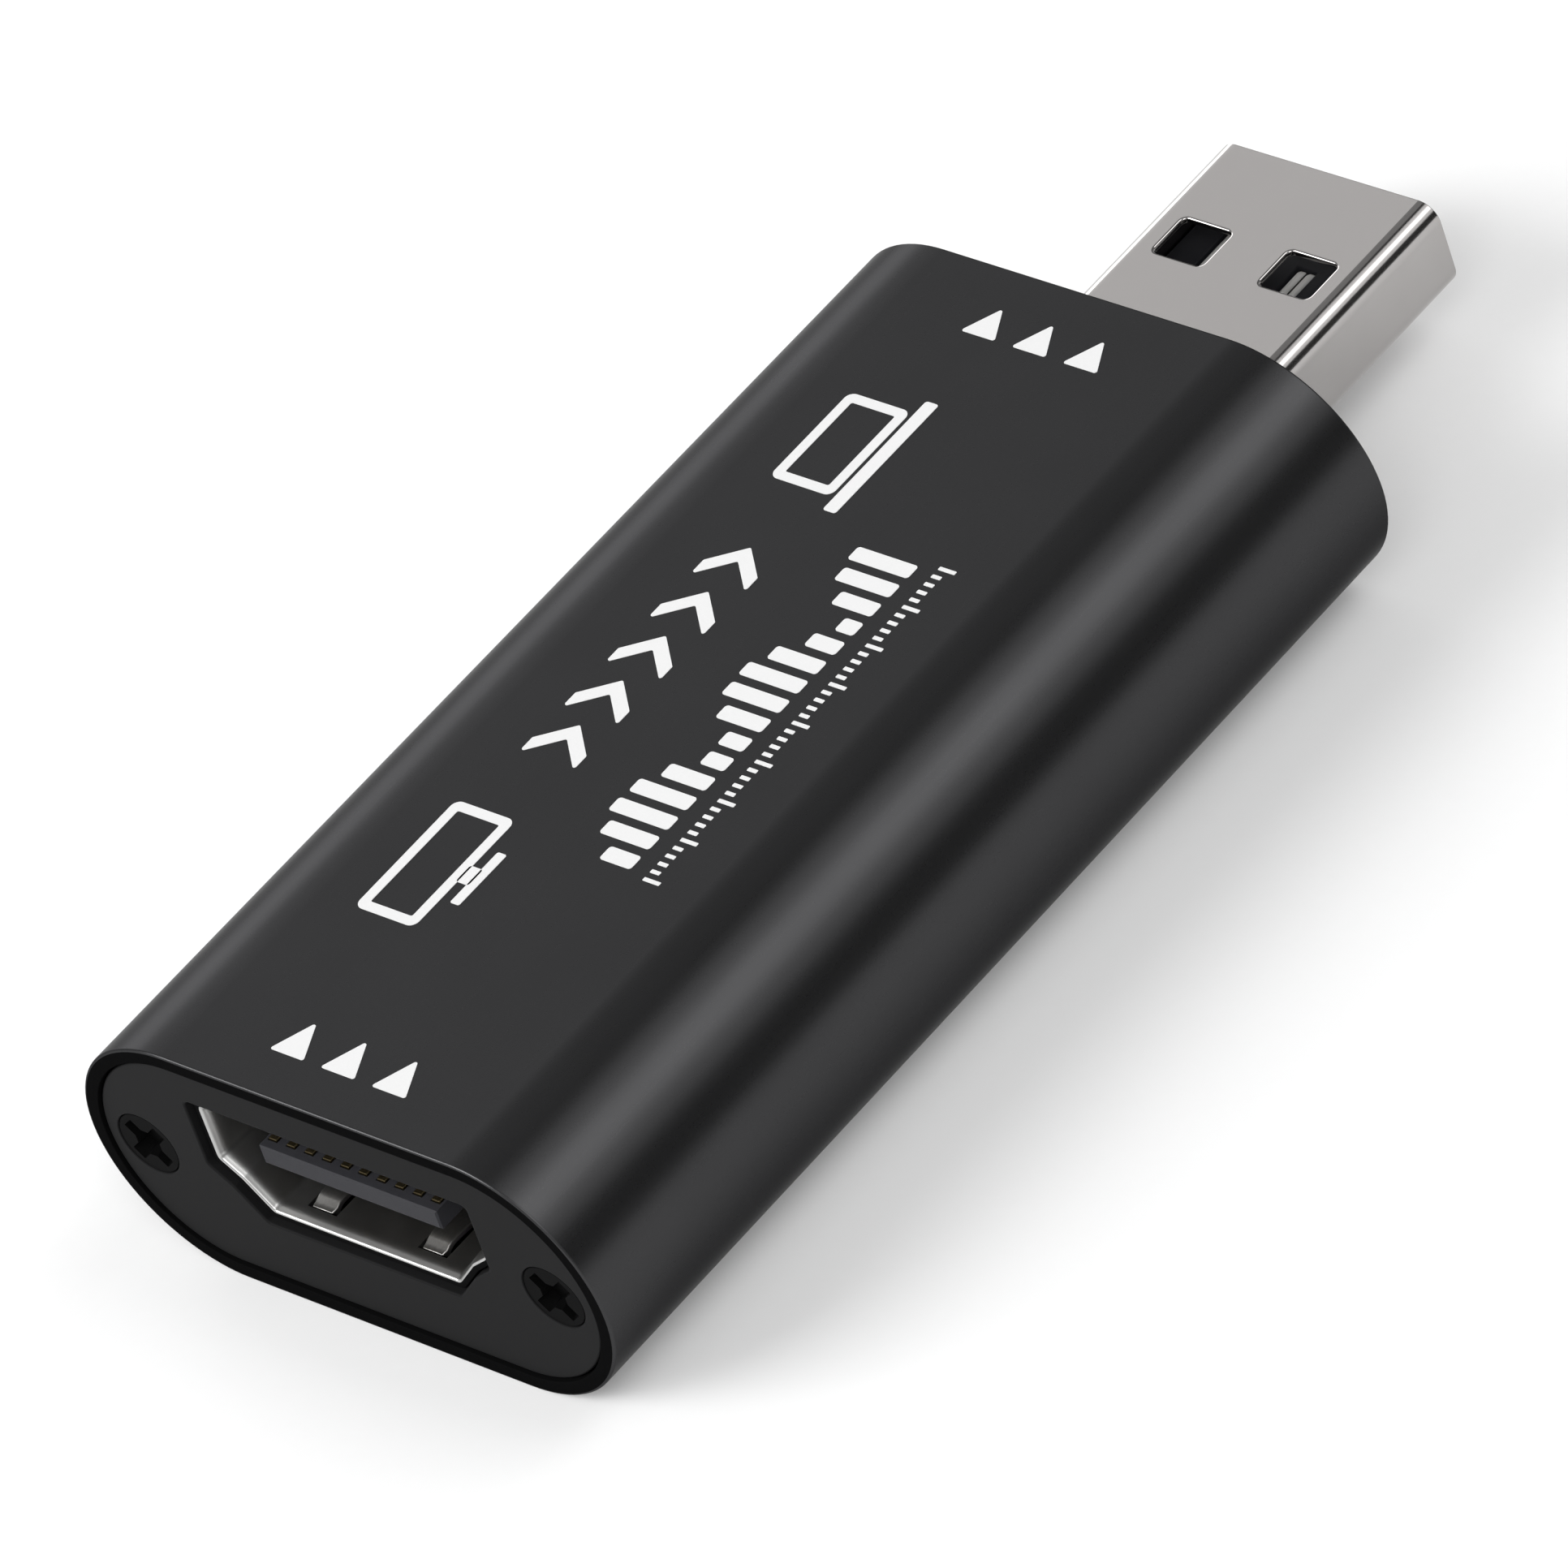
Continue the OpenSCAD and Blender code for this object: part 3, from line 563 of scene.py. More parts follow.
# The shell's front edge and the outside of its mouth are painted near black as shade, not the grey of bare
# cut steel.
edge_shade = mottled("sheet_edge_painted_shade", grey(0.004), grey(0.009), 0.6, 0.03, 0.001, Specular_IOR_Level=0.0)

bm = bmesh.new()
inner_stations = [(0, socket_back), (0, slot_back), (0, slot_front)]
flare_l = slot_front - socket_mouth - lip_round
flare_shares = [(k + 1) / flare_steps for k in range(flare_steps - 1)]
flare = [(mouth_flare * share ** 3, slot_front - flare_l * share) for share in flare_shares]
lip = rounding((mouth_flare, socket_mouth + lip_round), (mouth_flare, socket_mouth),
               (mouth_flare + lip_round, socket_mouth))
brim = [
    *rounding((bell + sheet_t - edge_round, socket_mouth), (bell + sheet_t, socket_mouth),
              (bell + sheet_t, socket_mouth + edge_round)),
    (sheet_t, socket_mouth + bell_depth),
]
outer_stations = [(margin + sheet_t, y) for margin, y in reversed(inner_stations)]
bright_stations = [*inner_stations, *flare, *lip]
stations = [*bright_stations, *brim, *outer_stations]
rows = skin(bm, [loop(bm, socket_outline(margin), y) for margin, y in stations], ring=True)
# The rows of the front edge and the mouth's outside take the painted shade finish.
brim_start = len(bright_stations) - 1
for row in rows[brim_start:brim_start + len(brim)]:
    for face in row:
        face.material_index = 1
inside = socket_outline(0)
inner_row = inner_stations.index((0, slot_back))
outer_row = len(stations) - 2 - inner_row
for column, (a, b) in enumerate(zip(inside, inside[1:] + inside[:1])):
    if abs(abs(a.x + b.x) / 2 - finger_x) < edge_round and abs(a.y - b.y) < edge_round:
        pierce(bm, rows[inner_row][column], rows[outer_row][column])
for side in (-1, 1):
    for place in leg_places:
        across = sorted((side * socket_w / 2, side * (socket_w / 2 + sheet_t)))
        along = socket_mouth + place - leg_w / 2
        brick(bm, (across[0], along, shell_low.z), (across[1], along + leg_w, socket_mid))
piece("socket_sheet_shell", bm, STICK, [nickel, edge_shade], ["video_socket_shell"])


# Spring fingers: tongues left in the shell's sheet, bent into the socket so that their crests
# press on a plug. Their tips are rubbed bright.
rubbed = finish("rubbed_nickel", Metallic=1.0)
rub = rubbed.noise(0.05, stretch=(1, 12, 1))
rub.tint((0.34, 0.335, 0.325), (0.5, 0.49, 0.475)).to("Base Color")
(0.3 + 0.14 * rub).to("Roughness")
rub.bump(0.0008)

finger_root = finger_high.y - sheet_t / 2
finger_l = finger_root - finger_low.y
finger_lead = 0.6
finger_rise = 0.27
finger_fall = 0.04
finger_steps = 20


def strip(bm, x, path, widths, thickness):
    """A bent strip of sheet, with a width for each point (y, z) of its path."""
    points = [Vector(point) for point in path]
    sections = []
    for i, point in enumerate(points):
        before = (point - points[max(i - 1, 0)]).normalized()
        after = (points[min(i + 1, len(points) - 1)] - point).normalized()
        across = Vector((-before.y, before.x)) + Vector((-after.y, after.x))
        lift = across * thickness / max(across.length_squared, 1)
        left = x - widths[i] / 2
        right = x + widths[i] / 2
        corners = [(left, point - lift), (right, point - lift), (right, point + lift), (left, point + lift)]
        sections.append([bm.verts.new((edge, p.x, p.y)) for edge, p in corners])
    skin(bm, sections)
    for end in (sections[0], sections[-1]):
        bm.faces.new(end)


def finger_path(wall_z, inward):
    """A finger's bend: a slow rise to its crest and a quick fall to its tip."""
    crest = finger_l - finger_lead
    path = []
    for k in range(finger_steps + 1):
        along = finger_l * k / finger_steps
        rise = finger_rise * (1 - math.cos(math.pi * min(along / crest, 1))) / 2
        if along > crest:
            rise -= (finger_rise + finger_fall) * (1 - math.cos(math.pi / 2 * (along - crest) / finger_lead))
        path.append((finger_root - along, wall_z + inward * rise))
    return path


for level, wall_z, inward in (
    ("lower", socket_floor - sheet_t / 2, 1), ("upper", socket_top + sheet_t / 2, -1)
):
    for hand, side in (("left", -1), ("right", 1)):
        bm = bmesh.new()
        widths = [finger_w] * (finger_steps + 1)
        widths[-1] -= 2 * edge_round
        strip(bm, side * finger_x, finger_path(wall_z, inward), widths, sheet_t)
        piece(f"{level}_{hand}_finger_strip", bm, f"{level}_{hand}_finger",
              [rubbed], [f"{level}_{hand}_spring_finger"], bevel=edge_round)


# Socket insulator: dark nylon moulded in one piece, with a block that fills the back of the
# shell and a tongue with a groove for each contact.
nylon = mottled("dark_nylon", (0.025, 0.025, 0.029), (0.038, 0.038, 0.043), 0.5, 0.03, 0.0015,
                Specular_IOR_Level=0.1)
block_low, block_high = span("video_socket_insulator")
contact_low, contact_high = span("video_socket_upper_contacts")
socket_depth = 7.4
block_front = socket_mouth + socket_depth
shell_fit = 0.05
tongue_w = 9.8
tongue_t = 1.0
tongue_mid = contact_high.z - tongue_t / 2
tongue_chamfer = 0.08
contact_w = 0.45
contact_t = 0.18
contact_pitch = 1.0
groove_gap = 0.05


def contact_row(count, pitch):
    return [(i - (count - 1) / 2) * pitch for i in range(count)]


upper_contacts = contact_row(10, contact_pitch)
lower_contacts = contact_row(9, contact_pitch)


def grooved(half_w, low, high, upper, lower, groove_w):
    """An outline with square grooves (x, depth) in its upper and lower sides."""
    half_groove = groove_w / 2
    points = [(-half_w, low)]
    for x, depth in sorted(lower):
        left, right, bed = x - half_groove, x + half_groove, low + depth
        points += [(left, low), (left, bed), (right, bed), (right, low)]
    points += [(half_w, low), (half_w, high)]
    for x, depth in sorted(upper, reverse=True):
        left, right, bed = x - half_groove, x + half_groove, high - depth
        points += [(right, high), (right, bed), (left, bed), (left, high)]
    return points + [(-half_w, high)]


def capped(bm, loops):
    """A solid through a row of loops, closed at both ends."""
    skin(bm, loops)
    for end in (loops[0], loops[-1]):
        bm.faces.new(end)


bm = bmesh.new()
groove_w = contact_w + 2 * groove_gap
groove_front = contact_low.y - groove_gap
tongue_loops = []
for y, inset, depth in (
    (block_low.y, tongue_chamfer, 0), (block_low.y + tongue_chamfer, 0, 0), (groove_front, 0, 0),
    (groove_front, 0, contact_t + groove_gap), (block_high.y, 0, contact_t + groove_gap),
):
    outline = grooved(
        tongue_w / 2 - inset, tongue_mid - tongue_t / 2 + inset, tongue_mid + tongue_t / 2 - inset,
        [(x, depth) for x in upper_contacts], [(x, depth) for x in lower_contacts], groove_w,
    )
    tongue_loops.append(loop(bm, outline, y))
capped(bm, tongue_loops)
block_stations = [
    (-shell_fit - edge_round, block_front), (-shell_fit, block_front + edge_round), (-shell_fit, block_high.y)
]
capped(bm, [loop(bm, socket_outline(margin), y) for margin, y in block_stations])
piece("socket_tongue_and_block", bm, STICK, [nylon], ["video_socket_insulator"])


# Socket contacts: stamped bronze strips plated with gold, pressed into the tongue's grooves.
# Their tails turn down behind the block and are soldered to the board.
# The gold is painted far darker than real gold plating, as painted shade of the socket's inside.
gold = mottled("gold_painted_dark", (0.12, 0.095, 0.05), (0.18, 0.145, 0.08), 0.4, 0.04, 0.0006, Metallic=1.0)
tail_w = 0.28
contact_edge = 0.03
for name, node, places, z in (
    ("upper", "video_socket_upper_contacts", upper_contacts, tongue_mid + (tongue_t - contact_t) / 2),
    ("lower", "video_socket_lower_contacts", lower_contacts, tongue_mid - (tongue_t - contact_t) / 2),
):
    bm = bmesh.new()
    tail_y = socket_back + contact_t / 2
    foot_z = contact_low.z + contact_t / 2
    for x in places:
        path = [
            (contact_low.y, z), (socket_back - tail_w, z), (tail_y, z), (tail_y, foot_z),
            (contact_high.y, foot_z),
        ]
        strip(bm, x, path, [contact_w, contact_w, tail_w, tail_w, tail_w], contact_t)
    piece(f"{name}_contact_strips", bm, STICK, [gold], [node], bevel=contact_edge)


# Plug shell: thin steel rolled into a flat box and nickel plated, satin on its flats, with two
# punched windows above and below and a soldering wing on each side inside the sleeve.
satin_nickel = finish("satin_nickel", Metallic=1.0)
roll_lines = satin_nickel.noise(0.05, stretch=(1, 40, 1))
handling = satin_nickel.noise(3.0)
(0.4 * roll_lines + 0.6 * handling).tint((0.4, 0.385, 0.378), (0.455, 0.44, 0.432)).to("Base Color")
(0.11 + 0.05 * roll_lines + 0.04 * handling).to("Roughness")
roll_lines.bump(0.0004)

plug_low, plug_high = span("plug_shell")
plug_w = 12.0
plug_sheet_t = 0.3
plug_round = 0.95
plug_edge = 0.06
punched_edge = 0.12
plug_arc = 12
plug_back = plug_low.y
plug_tip = plug_high.y
plug_h = plug_high.z - plug_low.z
plug_mid = (plug_low.z + plug_high.z) / 2
window_w = 2.75
window_l = 2.35
window_x = 2.925
window_setback = 4.75
window_y = plug_tip - window_setback - window_l / 2
window_round = 0.3
wing_l = 2.5
wing_setback = 0.8
wing_y = plug_back + wing_setback


def plug_outline(margin):
    box = rectangle(plug_w + 2 * margin, plug_h + 2 * margin, (0, plug_mid))
    return softened(box, plug_round + margin, plug_arc)


def window_outline(x, margin):
    box = rectangle(window_w + 2 * margin, window_l + 2 * margin, (x, window_y))
    return softened(box, window_round + margin)


bm = bmesh.new()
inner = -plug_sheet_t
stations = [
    *rounding((-plug_edge, plug_back), (0, plug_back), (0, plug_back + plug_edge)),
    *rounding((0, plug_tip - plug_edge), (0, plug_tip), (-plug_edge, plug_tip)),
    *rounding((inner + plug_edge, plug_tip), (inner, plug_tip), (inner, plug_tip - plug_edge)),
    *rounding((inner, plug_back + plug_edge), (inner, plug_back), (inner + plug_edge, plug_back)),
]
rows = skin(bm, [loop(bm, plug_outline(margin), y) for margin, y in stations], ring=True)
corner_points = plug_arc + 1
quarter = len(stations) // 4
for column, face_z, inward in (
    (corner_points - 1, plug_high.z, -1), (3 * corner_points - 1, plug_low.z, 1)
):
    back_z = face_z + inward * plug_sheet_t
    window_stations = [
        *rounding((punched_edge, face_z), (0, face_z), (0, face_z + inward * punched_edge)),
        *rounding((0, back_z - inward * plug_edge), (0, back_z), (plug_edge, back_z)),
    ]
    windows = []
    for x in (-window_x, window_x):
        rim_loops = [loop(bm, window_outline(x, margin), z, upright) for margin, z in window_stations]
        skin(bm, rim_loops)
        windows.append(rim_loops)
    for row, end in ((quarter - 1, 0), (3 * quarter - 1, -1)):
        flat = rows[row][column]
        border = list(flat.verts)
        bm.faces.remove(flat)
        fill(bm, border, *[rim_loops[end] for rim_loops in windows])
for side in (-1, 1):
    across = sorted((side * (plug_w / 2 - plug_sheet_t / 2), side * plug_high.x))
    brick(bm, (across[0], wing_y, board_high.z), (across[1], wing_y + wing_l, board_high.z + plug_sheet_t))
piece("plug_folded_shell", bm, STICK, [satin_nickel], ["plug_shell"])


# Plug insulator: a black nylon moulding with a block at the back and a tongue that carries the
# contacts along the lower half of the plug.
holder_low, holder_high = span("plug_insulator")
plug_contact_low, plug_contact_high = span("plug_contacts")
plug_contact_w = 1.0
plug_contact_t = plug_contact_high.z - plug_contact_low.z
hollow_l = 11.75
hollow_back = plug_tip - hollow_l
power_x = plug_contact_high.x - plug_contact_w / 2
signal_x = 1.0
power_front = plug_contact_high.y
signal_lag = 1.3
signal_front = power_front - signal_lag
holder_round = plug_round - plug_sheet_t
holder_w = holder_high.x - holder_low.x

bm = bmesh.new()
plug_grooves = {-power_x: power_front, -signal_x: signal_front, signal_x: signal_front, power_x: power_front}
tongue_loops = []
for y, inset in (
    (hollow_back - edge_round, 0), (signal_front + groove_gap, 0), (signal_front + groove_gap, 0),
    (power_front + groove_gap, 0), (power_front + groove_gap, 0), (holder_high.y - tongue_chamfer, 0),
    (holder_high.y, tongue_chamfer),
):
    reached = len(tongue_loops)
    depths = []
    for x, front in plug_grooves.items():
        ends_here = 2 if front == signal_front else 4
        depths.append((x, plug_contact_t if reached < ends_here else 0))
    outline = grooved(
        holder_w / 2 - inset, holder_low.z + inset, plug_contact_high.z - inset,
        depths, [], plug_contact_w + 2 * groove_gap,
    )
    tongue_loops.append(loop(bm, outline, y))
capped(bm, tongue_loops)
block = softened(rectangle(holder_w, holder_high.z - holder_low.z, (0, plug_mid)), holder_round)
capped(bm, [loop(bm, block, y) for y in (holder_low.y, hollow_back)])
piece("plug_tongue_and_block", bm, STICK, [nylon], ["plug_insulator"], bevel=edge_round)


# Plug contacts: four stamped strips with two rolled ridges each, two long for power and two short
# for the signal. They lie in the tongue's grooves and reach the board. Their ridges are matt tin
# in a near-white tone that is partly painted highlight; the beds beside them are painted shade.
# Ridges: tin pushed to near white, partly painted highlight. Beds: dark grey painted shade.
plated = mottled("tin_painted_bright", (0.84, 0.83, 0.8), (0.93, 0.92, 0.9), 0.45, 0.05, 0.0006, Metallic=0.15)
bed_shade = mottled("bed_painted_shade", grey(0.03), grey(0.06), 0.5, 0.05, 0.0006, Metallic=0.5)
ridge_w = 0.32
ridge_h = 0.2
ridge_steps = 8
nose_l = 0.25


def ridged(x, height):
    """A contact's section: a flat underside, and a bed on top with two round ridges of a height."""
    half = plug_contact_w / 2
    bed = plug_contact_high.z - ridge_h
    points = [(x - half, plug_contact_low.z), (x + half, plug_contact_low.z), (x + half, bed)]
    for centre in (x + half / 2, x - half / 2):
        for k in range(ridge_steps + 1):
            turn = math.pi * k / ridge_steps
            points.append((centre + ridge_w / 2 * math.cos(turn), bed + height * math.sin(turn)))
    return points + [(x - half, bed)]


bm = bmesh.new()
bed_top = plug_contact_high.z - ridge_h + edge_round
for x, front in plug_grooves.items():
    ends = [(plug_contact_low.y, ridge_h), (front - nose_l, ridge_h), (front, ridge_h / 4)]
    loops = [loop(bm, ridged(x, height), y) for y, height in ends]
    # Faces below the ridges' tops, the beds, take the painted shade finish.
    for row in skin(bm, loops):
        for face in row:
            face.material_index = int(max(v.co.z for v in face.verts) < bed_top)
    for end in (loops[0], loops[-1]):
        bm.faces.new(end)
piece("plug_contact_strips", bm, STICK, [plated, bed_shade], ["plug_contacts"])


# End plates: flat aluminium, blanked and countersunk, then coated matt black. They lie in the
# sleeve's mouths, a hair below the rim. Each opening is close round its connector at the face and
# wider behind it, where the socket's fingers need room.
matt_black = finish("matt_black_coating", Specular_IOR_Level=0.03)
orange_peel = matt_black.noise(0.12)
fine = matt_black.noise(0.03)
(0.5 * orange_peel + 0.5 * fine).tint(grey(0.01), grey(0.014)).to("Base Color")
(0.45 + 0.1 * fine).to("Roughness")
(0.6 * orange_peel + 0.4 * fine).bump(0.0015)

plate_edge = 0.1
hole_edge = 0.05
opening_gap = 0.08
opening_depth = 0.8
opening_step = 0.4
screw_fit = 0.04
land = 0.25
shank_r = 0.8
cone = screw_r - shank_r
plate_t = plate_high.y - plate_low.y


def socket_opening(margin):
    return socket_outline(bell + sheet_t + opening_gap + margin)


def plug_opening(margin):
    return plug_outline(opening_gap + margin)


def plate_rims(face_y, inward, opening):
    """Rims of a plate's edge, its connector opening and its two screw holes, from face to back."""
    back_y = face_y + inward * plate_t
    front_edge = face_y + inward * plate_edge
    back_edge = back_y - inward * plate_edge
    hole_r = screw_r + screw_fit
    neck_r = shank_r + screw_fit
    neck_y = face_y + inward * (land + screw_fit + cone)
    edge = [
        *rounding((plate_edge, face_y), (0, face_y), (0, front_edge)),
        *rounding((0, back_edge), (0, back_y), (plate_edge, back_y)),
    ]
    step_y = face_y + inward * opening_depth
    window = [
        *edge[:len(edge) // 2], (0, step_y), (opening_step, step_y),
        *[(opening_step + margin, y) for margin, y in edge[len(edge) // 2:]],
    ]
    hole = [
        *rounding((hole_r + hole_edge, face_y), (hole_r, face_y), (hole_r, face_y + inward * hole_edge)),
        (hole_r, face_y + inward * (land + screw_fit)), (neck_r, neck_y), (neck_r, back_y),
    ]
    rims = [
        [(stadium(plate_inset + inset), y) for inset, y in edge],
        [(opening(margin), y) for margin, y in window],
    ]
    for side in (-1, 1):
        rims.append([(circle((side * screw_x, sleeve_mid), radius), y) for radius, y in hole])
    return rims


output_face = span("output_end_plate")[1].y
for name, face_y, inward, opening in (
    ("input", plate_low.y, 1, socket_opening), ("output", output_face, -1, plug_opening)
):
    bm = bmesh.new()
    rims = []
    for rim_outlines in plate_rims(face_y, inward, opening):
        rims.append([loop(bm, outline, y) for outline, y in rim_outlines])
    for rim_loops in rims:
        skin(bm, rim_loops)
    bmesh.ops.remove_doubles(bm, verts=bm.verts, dist=WELD)
    for end in (0, -1):
        fill(bm, *[[v for v in rim_loops[end] if v.is_valid] for rim_loops in rims])
    piece(f"{name}_plate_blank", bm, STICK, [matt_black], [f"{name}_end_plate"])


# Screws: small countersunk steel screws with a cross recess, blackened. Two hold each plate to
# the sleeve's channels, with their heads a hair below the plate.
black_oxide = finish("black_oxide", Specular_IOR_Level=0.01)
oxide = black_oxide.noise(0.05)
oxide.tint(grey(0.003), grey(0.006)).to("Base Color")
(0.36 + 0.14 * oxide).to("Roughness")
oxide.bump(0.0012)

# The cross recess is painted near black as shade, darker than the blackened heads.
recess_shade = mottled("recess_painted_shade", grey(0.0008), grey(0.0018), 0.7, 0.05, 0.001, IOR=1.15)

recess_half = 1.25
recess_arm = 0.34
recess_web = 0.28
recess_depth = 0.7
recess_taper = 0.75
recess_round = 0.05
screw_l = 6.0
tip_l = 0.5
head_edge = 0.05


def recess_outline(centre, share):
    """A cross with arms on the diagonals and a web in each inner corner."""
    quadrant = [
        Vector((recess_half, -recess_arm)), Vector((recess_half, recess_arm)),
        Vector((recess_arm + recess_web, recess_arm)), Vector((recess_arm, recess_arm + recess_web)),
    ]
    corners = []
    for k in range(4):
        corners += [Matrix.Rotation(math.radians(45 + 90 * k), 2) @ (share * corner) for corner in quadrant]
    return [Vector(centre) + point for point in softened(corners, recess_round * share, 3)]


for name, face_y, inward in (("input", plate_low.y, 1), ("output", output_face, -1)):
    bm = bmesh.new()
    top = face_y + inward * screw_fit
    head_rim = top + inward * head_edge
    cone_top = top + inward * land
    cone_end = cone_top + inward * cone
    tip_start = top + inward * (screw_l - tip_l)
    turned = [
        *rounding((screw_r - head_edge, top), (screw_r, top), (screw_r, head_rim)), (screw_r, cone_top),
        (shank_r, cone_end), (shank_r, tip_start), (shank_r / 2, top + inward * screw_l),
    ]
    for side in (-1, 1):
        centre = (side * screw_x, sleeve_mid)
        body = [loop(bm, circle(centre, radius), y) for radius, y in turned]
        recess = [(1, top), (1, top + inward * head_edge), (recess_taper, top + inward * recess_depth)]
        recess_loops = [loop(bm, recess_outline(centre, share), y) for share, y in recess]
        skin(bm, body)
        bm.faces.new(body[-1])
        fill(bm, body[0], recess_loops[0])
        # The recess walls and floor take the painted shade finish.
        for row in skin(bm, recess_loops):
            for face in row:
                face.material_index = 1
        for face in fill(bm, recess_loops[-1]):
            face.material_index = 1
    piece(f"{name}_countersunk_screws", bm, STICK, [black_oxide, recess_shade],
          [f"{name}_plate_screws"])


# Print: white screen-printed marks on the flat top, a film of ink thinner than a hair. Plain
# wedges show the way in and out, a screen, arrows and a laptop show what the stick does, and a
# row of levels stands on a scale.
ink = finish("white_ink", IOR=1.45)
ink_film = ink.noise(0.06)
ink_film.tint((0.74, 0.74, 0.74), (0.8, 0.8, 0.8)).to("Base Color")
(0.45 + 0.2 * ink_film).to("Roughness")
ink_film.bump(0.001)

ink_bottom = sleeve_high.z - 2 * print_t
ink_top = sleeve_high.z
ink_round = 0.1


def printed(bm, outline, *holes):
    """A flat mark with its holes, as a thin film on the sleeve."""
    edges = [[loop(bm, points, z, upright) for z in (ink_bottom, ink_top)] for points in (outline, *holes)]
    for lower, upper in edges:
        skin(bm, [lower, upper])
    for level in (0, 1):
        fill(bm, *[edge[level] for edge in edges])


def wedge(bm, x, y, width, length):
    """A triangle that points to the plug."""
    corners = [Vector((x + width / 2, y)), Vector((x, y + length)), Vector((x - width / 2, y))]
    printed(bm, softened(corners, ink_round))


def chevron(bm, x, y, width, length, stroke):
    """An open arrowhead that points to the plug."""
    edge = x + width / 2
    right = [Vector((edge, y)), Vector((edge, y + stroke)), Vector((x, y + stroke + length))]
    left = [Vector((2 * x - p.x, p.y)) for p in reversed(right[:2])]
    printed(bm, softened([*right, *left, Vector((x, y + length))], ink_round))


def bar(bm, top, bottom, start, end):
    """A solid bar between two places across the stick and two along it."""
    box = rectangle(bottom - top, end - start, ((top + bottom) / 2, (start + end) / 2))
    corner_share = 0.2
    printed(bm, softened(box, min(bottom - top, end - start) * corner_share))


def screen(bm, top, bottom, start, end, stroke):
    """A rounded outline of a screen."""
    middle = ((top + bottom) / 2, (start + end) / 2)
    outer = rectangle(bottom - top, end - start, middle)
    hole = rectangle(bottom - top - 2 * stroke, end - start - 2 * stroke, middle)
    printed(bm, softened(outer, 4 * ink_round), softened(hole, ink_round))


bm = bmesh.new()
wedge_pitch = 2.8
wedge_w = 1.9
way_in_y = -31.7
way_in_l = 2.0
way_out_y = 15.0
way_out_l = 1.8
for place in (-1, 0, 1):
    wedge(bm, place * wedge_pitch, way_in_y, wedge_w, way_in_l)
    wedge(bm, place * wedge_pitch, way_out_y, wedge_w, way_out_l)

sign_top = -5.9
sign_foot = -1.6
stroke = 0.5
monitor_y = -20.2
monitor_half = 3.4
monitor_lift = 1.0
neck_top = 1.1
neck_foot = 0.4
stand_half = 1.6
screen(bm, sign_top, sign_foot - monitor_lift, monitor_y - monitor_half, monitor_y + monitor_half, stroke)
bar(bm, sign_foot - neck_top, sign_foot - neck_foot, monitor_y - stroke, monitor_y + stroke)
bar(bm, sign_foot - stroke, sign_foot, monitor_y - stand_half, monitor_y + stand_half)

arrow_count = 5
arrow_y = -13.4
arrow_pitch = 2.9
arrow_w = 3.0
arrow_l = 1.4
arrow_stroke = 0.9
for k in range(arrow_count):
    chevron(bm, (sign_top + sign_foot) / 2, arrow_y + arrow_pitch * k, arrow_w, arrow_l, arrow_stroke)

laptop_y = 7.2
laptop_half = 2.8
laptop_lift = 0.9
keys_half = 3.6
keys_t = 0.7
screen(bm, sign_top, sign_foot - laptop_lift, laptop_y - laptop_half, laptop_y + laptop_half, stroke)
bar(bm, sign_foot - keys_t, sign_foot, laptop_y - keys_half, laptop_y + keys_half)

level_count = 16
level_y = -17.2
level_foot = 4.0
level_pitch = 1.25
level_w = 0.8
level_low = 0.7
level_rise = 2.6
level_wave = 0.5
level_start = 0.4
for k in range(level_count):
    height = level_low + level_rise * abs(math.sin(level_wave * k + level_start))
    start = level_y + level_pitch * k
    bar(bm, level_foot - height, level_foot, start, start + level_w)

tick_count = 41
tick_y = -17.5
tick_pitch = 0.5
tick_w = 0.2
tick_top = 4.9
tick_l = 0.5
long_tick_l = 0.9
long_tick_every = 5
for k in range(tick_count):
    start = tick_y + tick_pitch * k
    reach = tick_l if k % long_tick_every else long_tick_l
    bar(bm, tick_top, tick_top + reach, start, start + tick_w)
piece("printed_marks", bm, STICK, [ink], [])


# Floor: a broad pale sheet under the stick. The camera and reflections see it as white, and it
# keeps the stick's shadow.
floor_size = 4.0
floor_mesh = bpy.data.meshes.new("studio_floor")
half = floor_size / 2
floor_corners = [(-half, -half, 0), (half, -half, 0), (half, half, 0), (-half, half, 0)]
floor_mesh.from_pydata(floor_corners, [], [(0, 1, 2, 3)])
floor = bpy.data.objects.new("studio_floor", floor_mesh)
bpy.context.scene.collection.objects.link(floor)
paper = finish("pale_paper", Roughness=0.9, Specular_IOR_Level=0.0)
paper.noise(0.8).tint((0.79, 0.79, 0.79), (0.81, 0.81, 0.81)).to("Base Color")
camera_ray = paper.node("LightPath", output="Is Camera Ray")
glossy_ray = paper.node("LightPath", output="Is Glossy Ray")
through_ray = paper.node("LightPath", output="Is Transmission Ray")
seen = paper.maths("MAXIMUM", camera_ray, paper.maths("MAXIMUM", glossy_ray, through_ray))
glow = paper.node("Emission", None, {"Color": (1, 1, 1, 1), "Strength": 0.16})
tree = paper.owner.node_tree
shader = tree.nodes["Principled BSDF"]
both = paper.node("AddShader", None, {0: Value(paper.owner, shader.outputs[0]), 1: glow})
white = paper.node("MixShader", None, {0: seen, 1: Value(paper.owner, shader.outputs[0]), 2: both})
tree.links.new(white.socket, tree.nodes["Material Output"].inputs["Surface"])
floor_mesh.materials.append(paper.owner)


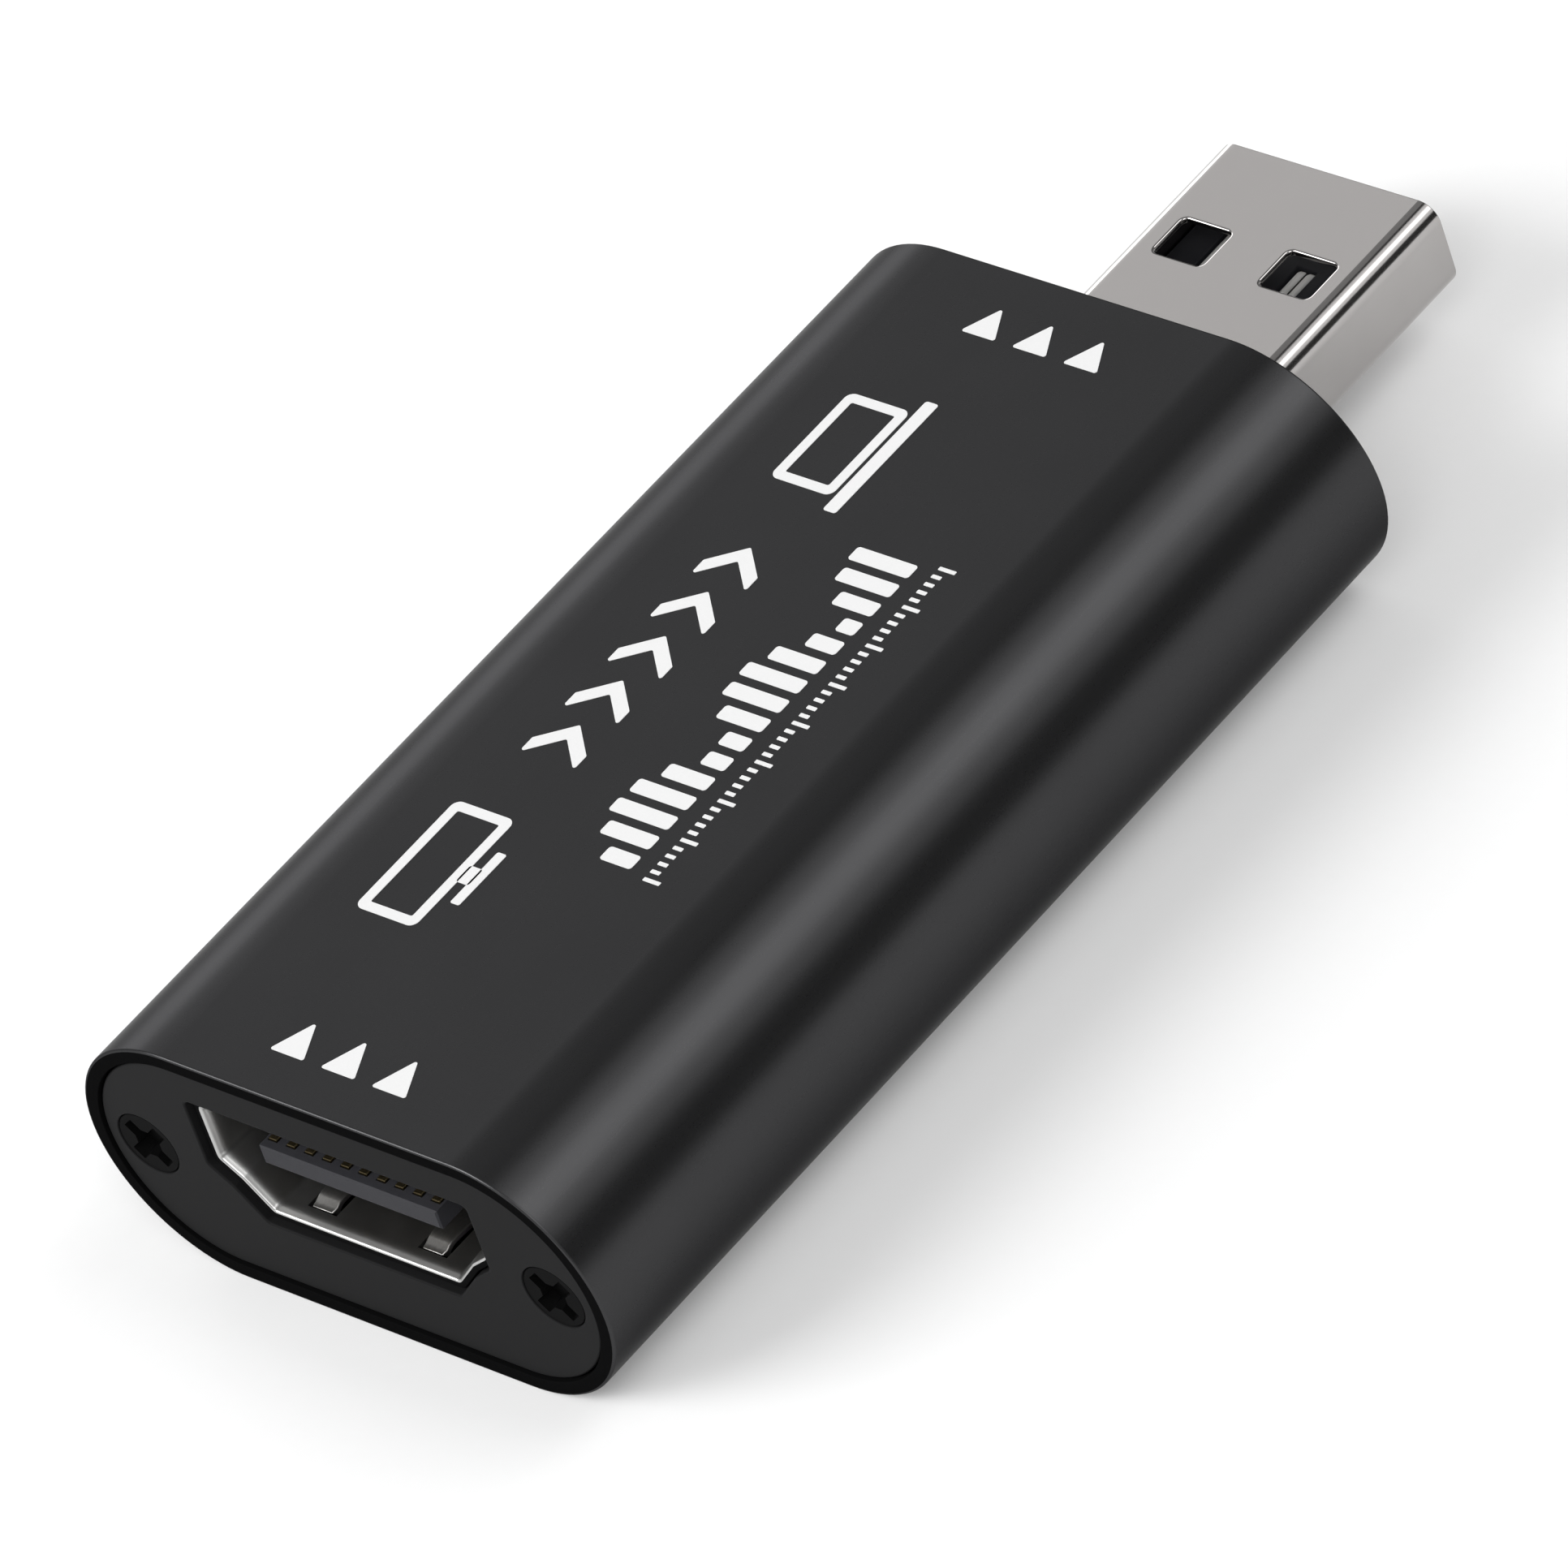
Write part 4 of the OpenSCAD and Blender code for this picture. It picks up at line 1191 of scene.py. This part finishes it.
# Light: a room with pale walls before and behind the stick and dim ones beside it. Long lamps
# parallel to the stick, low on the left and high on the right, draw the bands along the sleeve.
# A key lamp in front on the left gives the shadow, and a weaker fill lamp on the right softens it.
def lamp(name, place, turn, size, level):
    """A soft lamp; level is the brightness of its face, and turn is its rotation from facing down."""
    data = bpy.data.lights.new(name, "AREA")
    data.shape = "RECTANGLE"
    data.size, data.size_y = size
    data.energy = math.pi * size[0] * size[1] * level
    made = bpy.data.objects.new(name, data)
    made.location = place
    made.rotation_euler = turn
    made.visible_camera = False
    bpy.context.scene.collection.objects.link(made)


def long_lamp(name, lean, distance, size, level):
    """A lamp parallel to the stick, at an angle from straight up towards +X, shifted to the plug's end."""
    shift = 0.54
    lean = math.radians(lean)
    place = (distance * math.sin(lean), shift * distance, distance * math.cos(lean))
    lamp(name, place, (0, lean, 0), size, level)


def front_lamp(name, direction, distance, size, level):
    """A lamp in a direction from the stick, which it faces."""
    turn = Vector(direction).to_track_quat("Z", "Y").to_euler()
    lamp(name, Vector(direction).normalized() * distance, turn, size, level)


long_lamp("left_box", lean=-70, distance=1.2, size=(1.38, 1.0), level=0.9)
long_lamp("left_low_strip", lean=-82, distance=1.19, size=(0.6, 1.0), level=2.6)
long_lamp("left_glow", lean=-26, distance=1.2, size=(0.69, 1.0), level=0.28)
long_lamp("right_strip", lean=30, distance=1.2, size=(1.25, 1.0), level=1.05)
long_lamp("right_strip_core", lean=30, distance=1.19, size=(0.46, 1.0), level=1.7)
front_lamp("key", direction=(-0.45, -0.7, 0.55), distance=1.4, size=(0.8, 0.8), level=8.0)
front_lamp("fill", direction=(0.5, -0.5, 0.7), distance=1.4, size=(0.7, 0.7), level=3.8)

room = bpy.data.worlds.new("room")
room.use_nodes = True
bpy.context.scene.world = room
walls = Value(room)
along = walls.node("SeparateXYZ", None, {0: walls.node("TexCoord", output="Generated")}, "Y")
pale = 1 - along.ramp(0.05, 0.3) + along.ramp(0.7, 0.9)
dim_wall = (0.04, 0.04, 0.04)
pale_wall = (0.35, 0.35, 0.35)
shade = pale.tint(dim_wall, pale_wall)
room.node_tree.links.new(shade.socket, room.node_tree.nodes["Background"].inputs["Color"])
bpy.context.scene.view_settings.view_transform = "Standard"


# Camera: a long lens above the right side of the input end, rolled a little, as in the photograph.
camera_turn = 51.866
camera_tilt = 50.442
camera_roll = -19.921
camera_distance = 0.61
camera_aim = Vector((0.00457, -0.00865, 0.01028))
lens = bpy.data.cameras.new("camera")
lens.sensor_width = 36.0
lens.lens = 341.25
camera = bpy.data.objects.new("camera", lens)
swing = Matrix.Rotation(math.radians(camera_turn), 4, "Z")
swing = swing @ Matrix.Rotation(math.radians(camera_tilt), 4, "X")
swing = swing @ Matrix.Rotation(math.radians(camera_roll), 4, "Z")
camera.matrix_world = Matrix.Translation(camera_aim + swing.col[2].xyz * camera_distance) @ swing
bpy.context.scene.collection.objects.link(camera)
bpy.context.scene.camera = camera
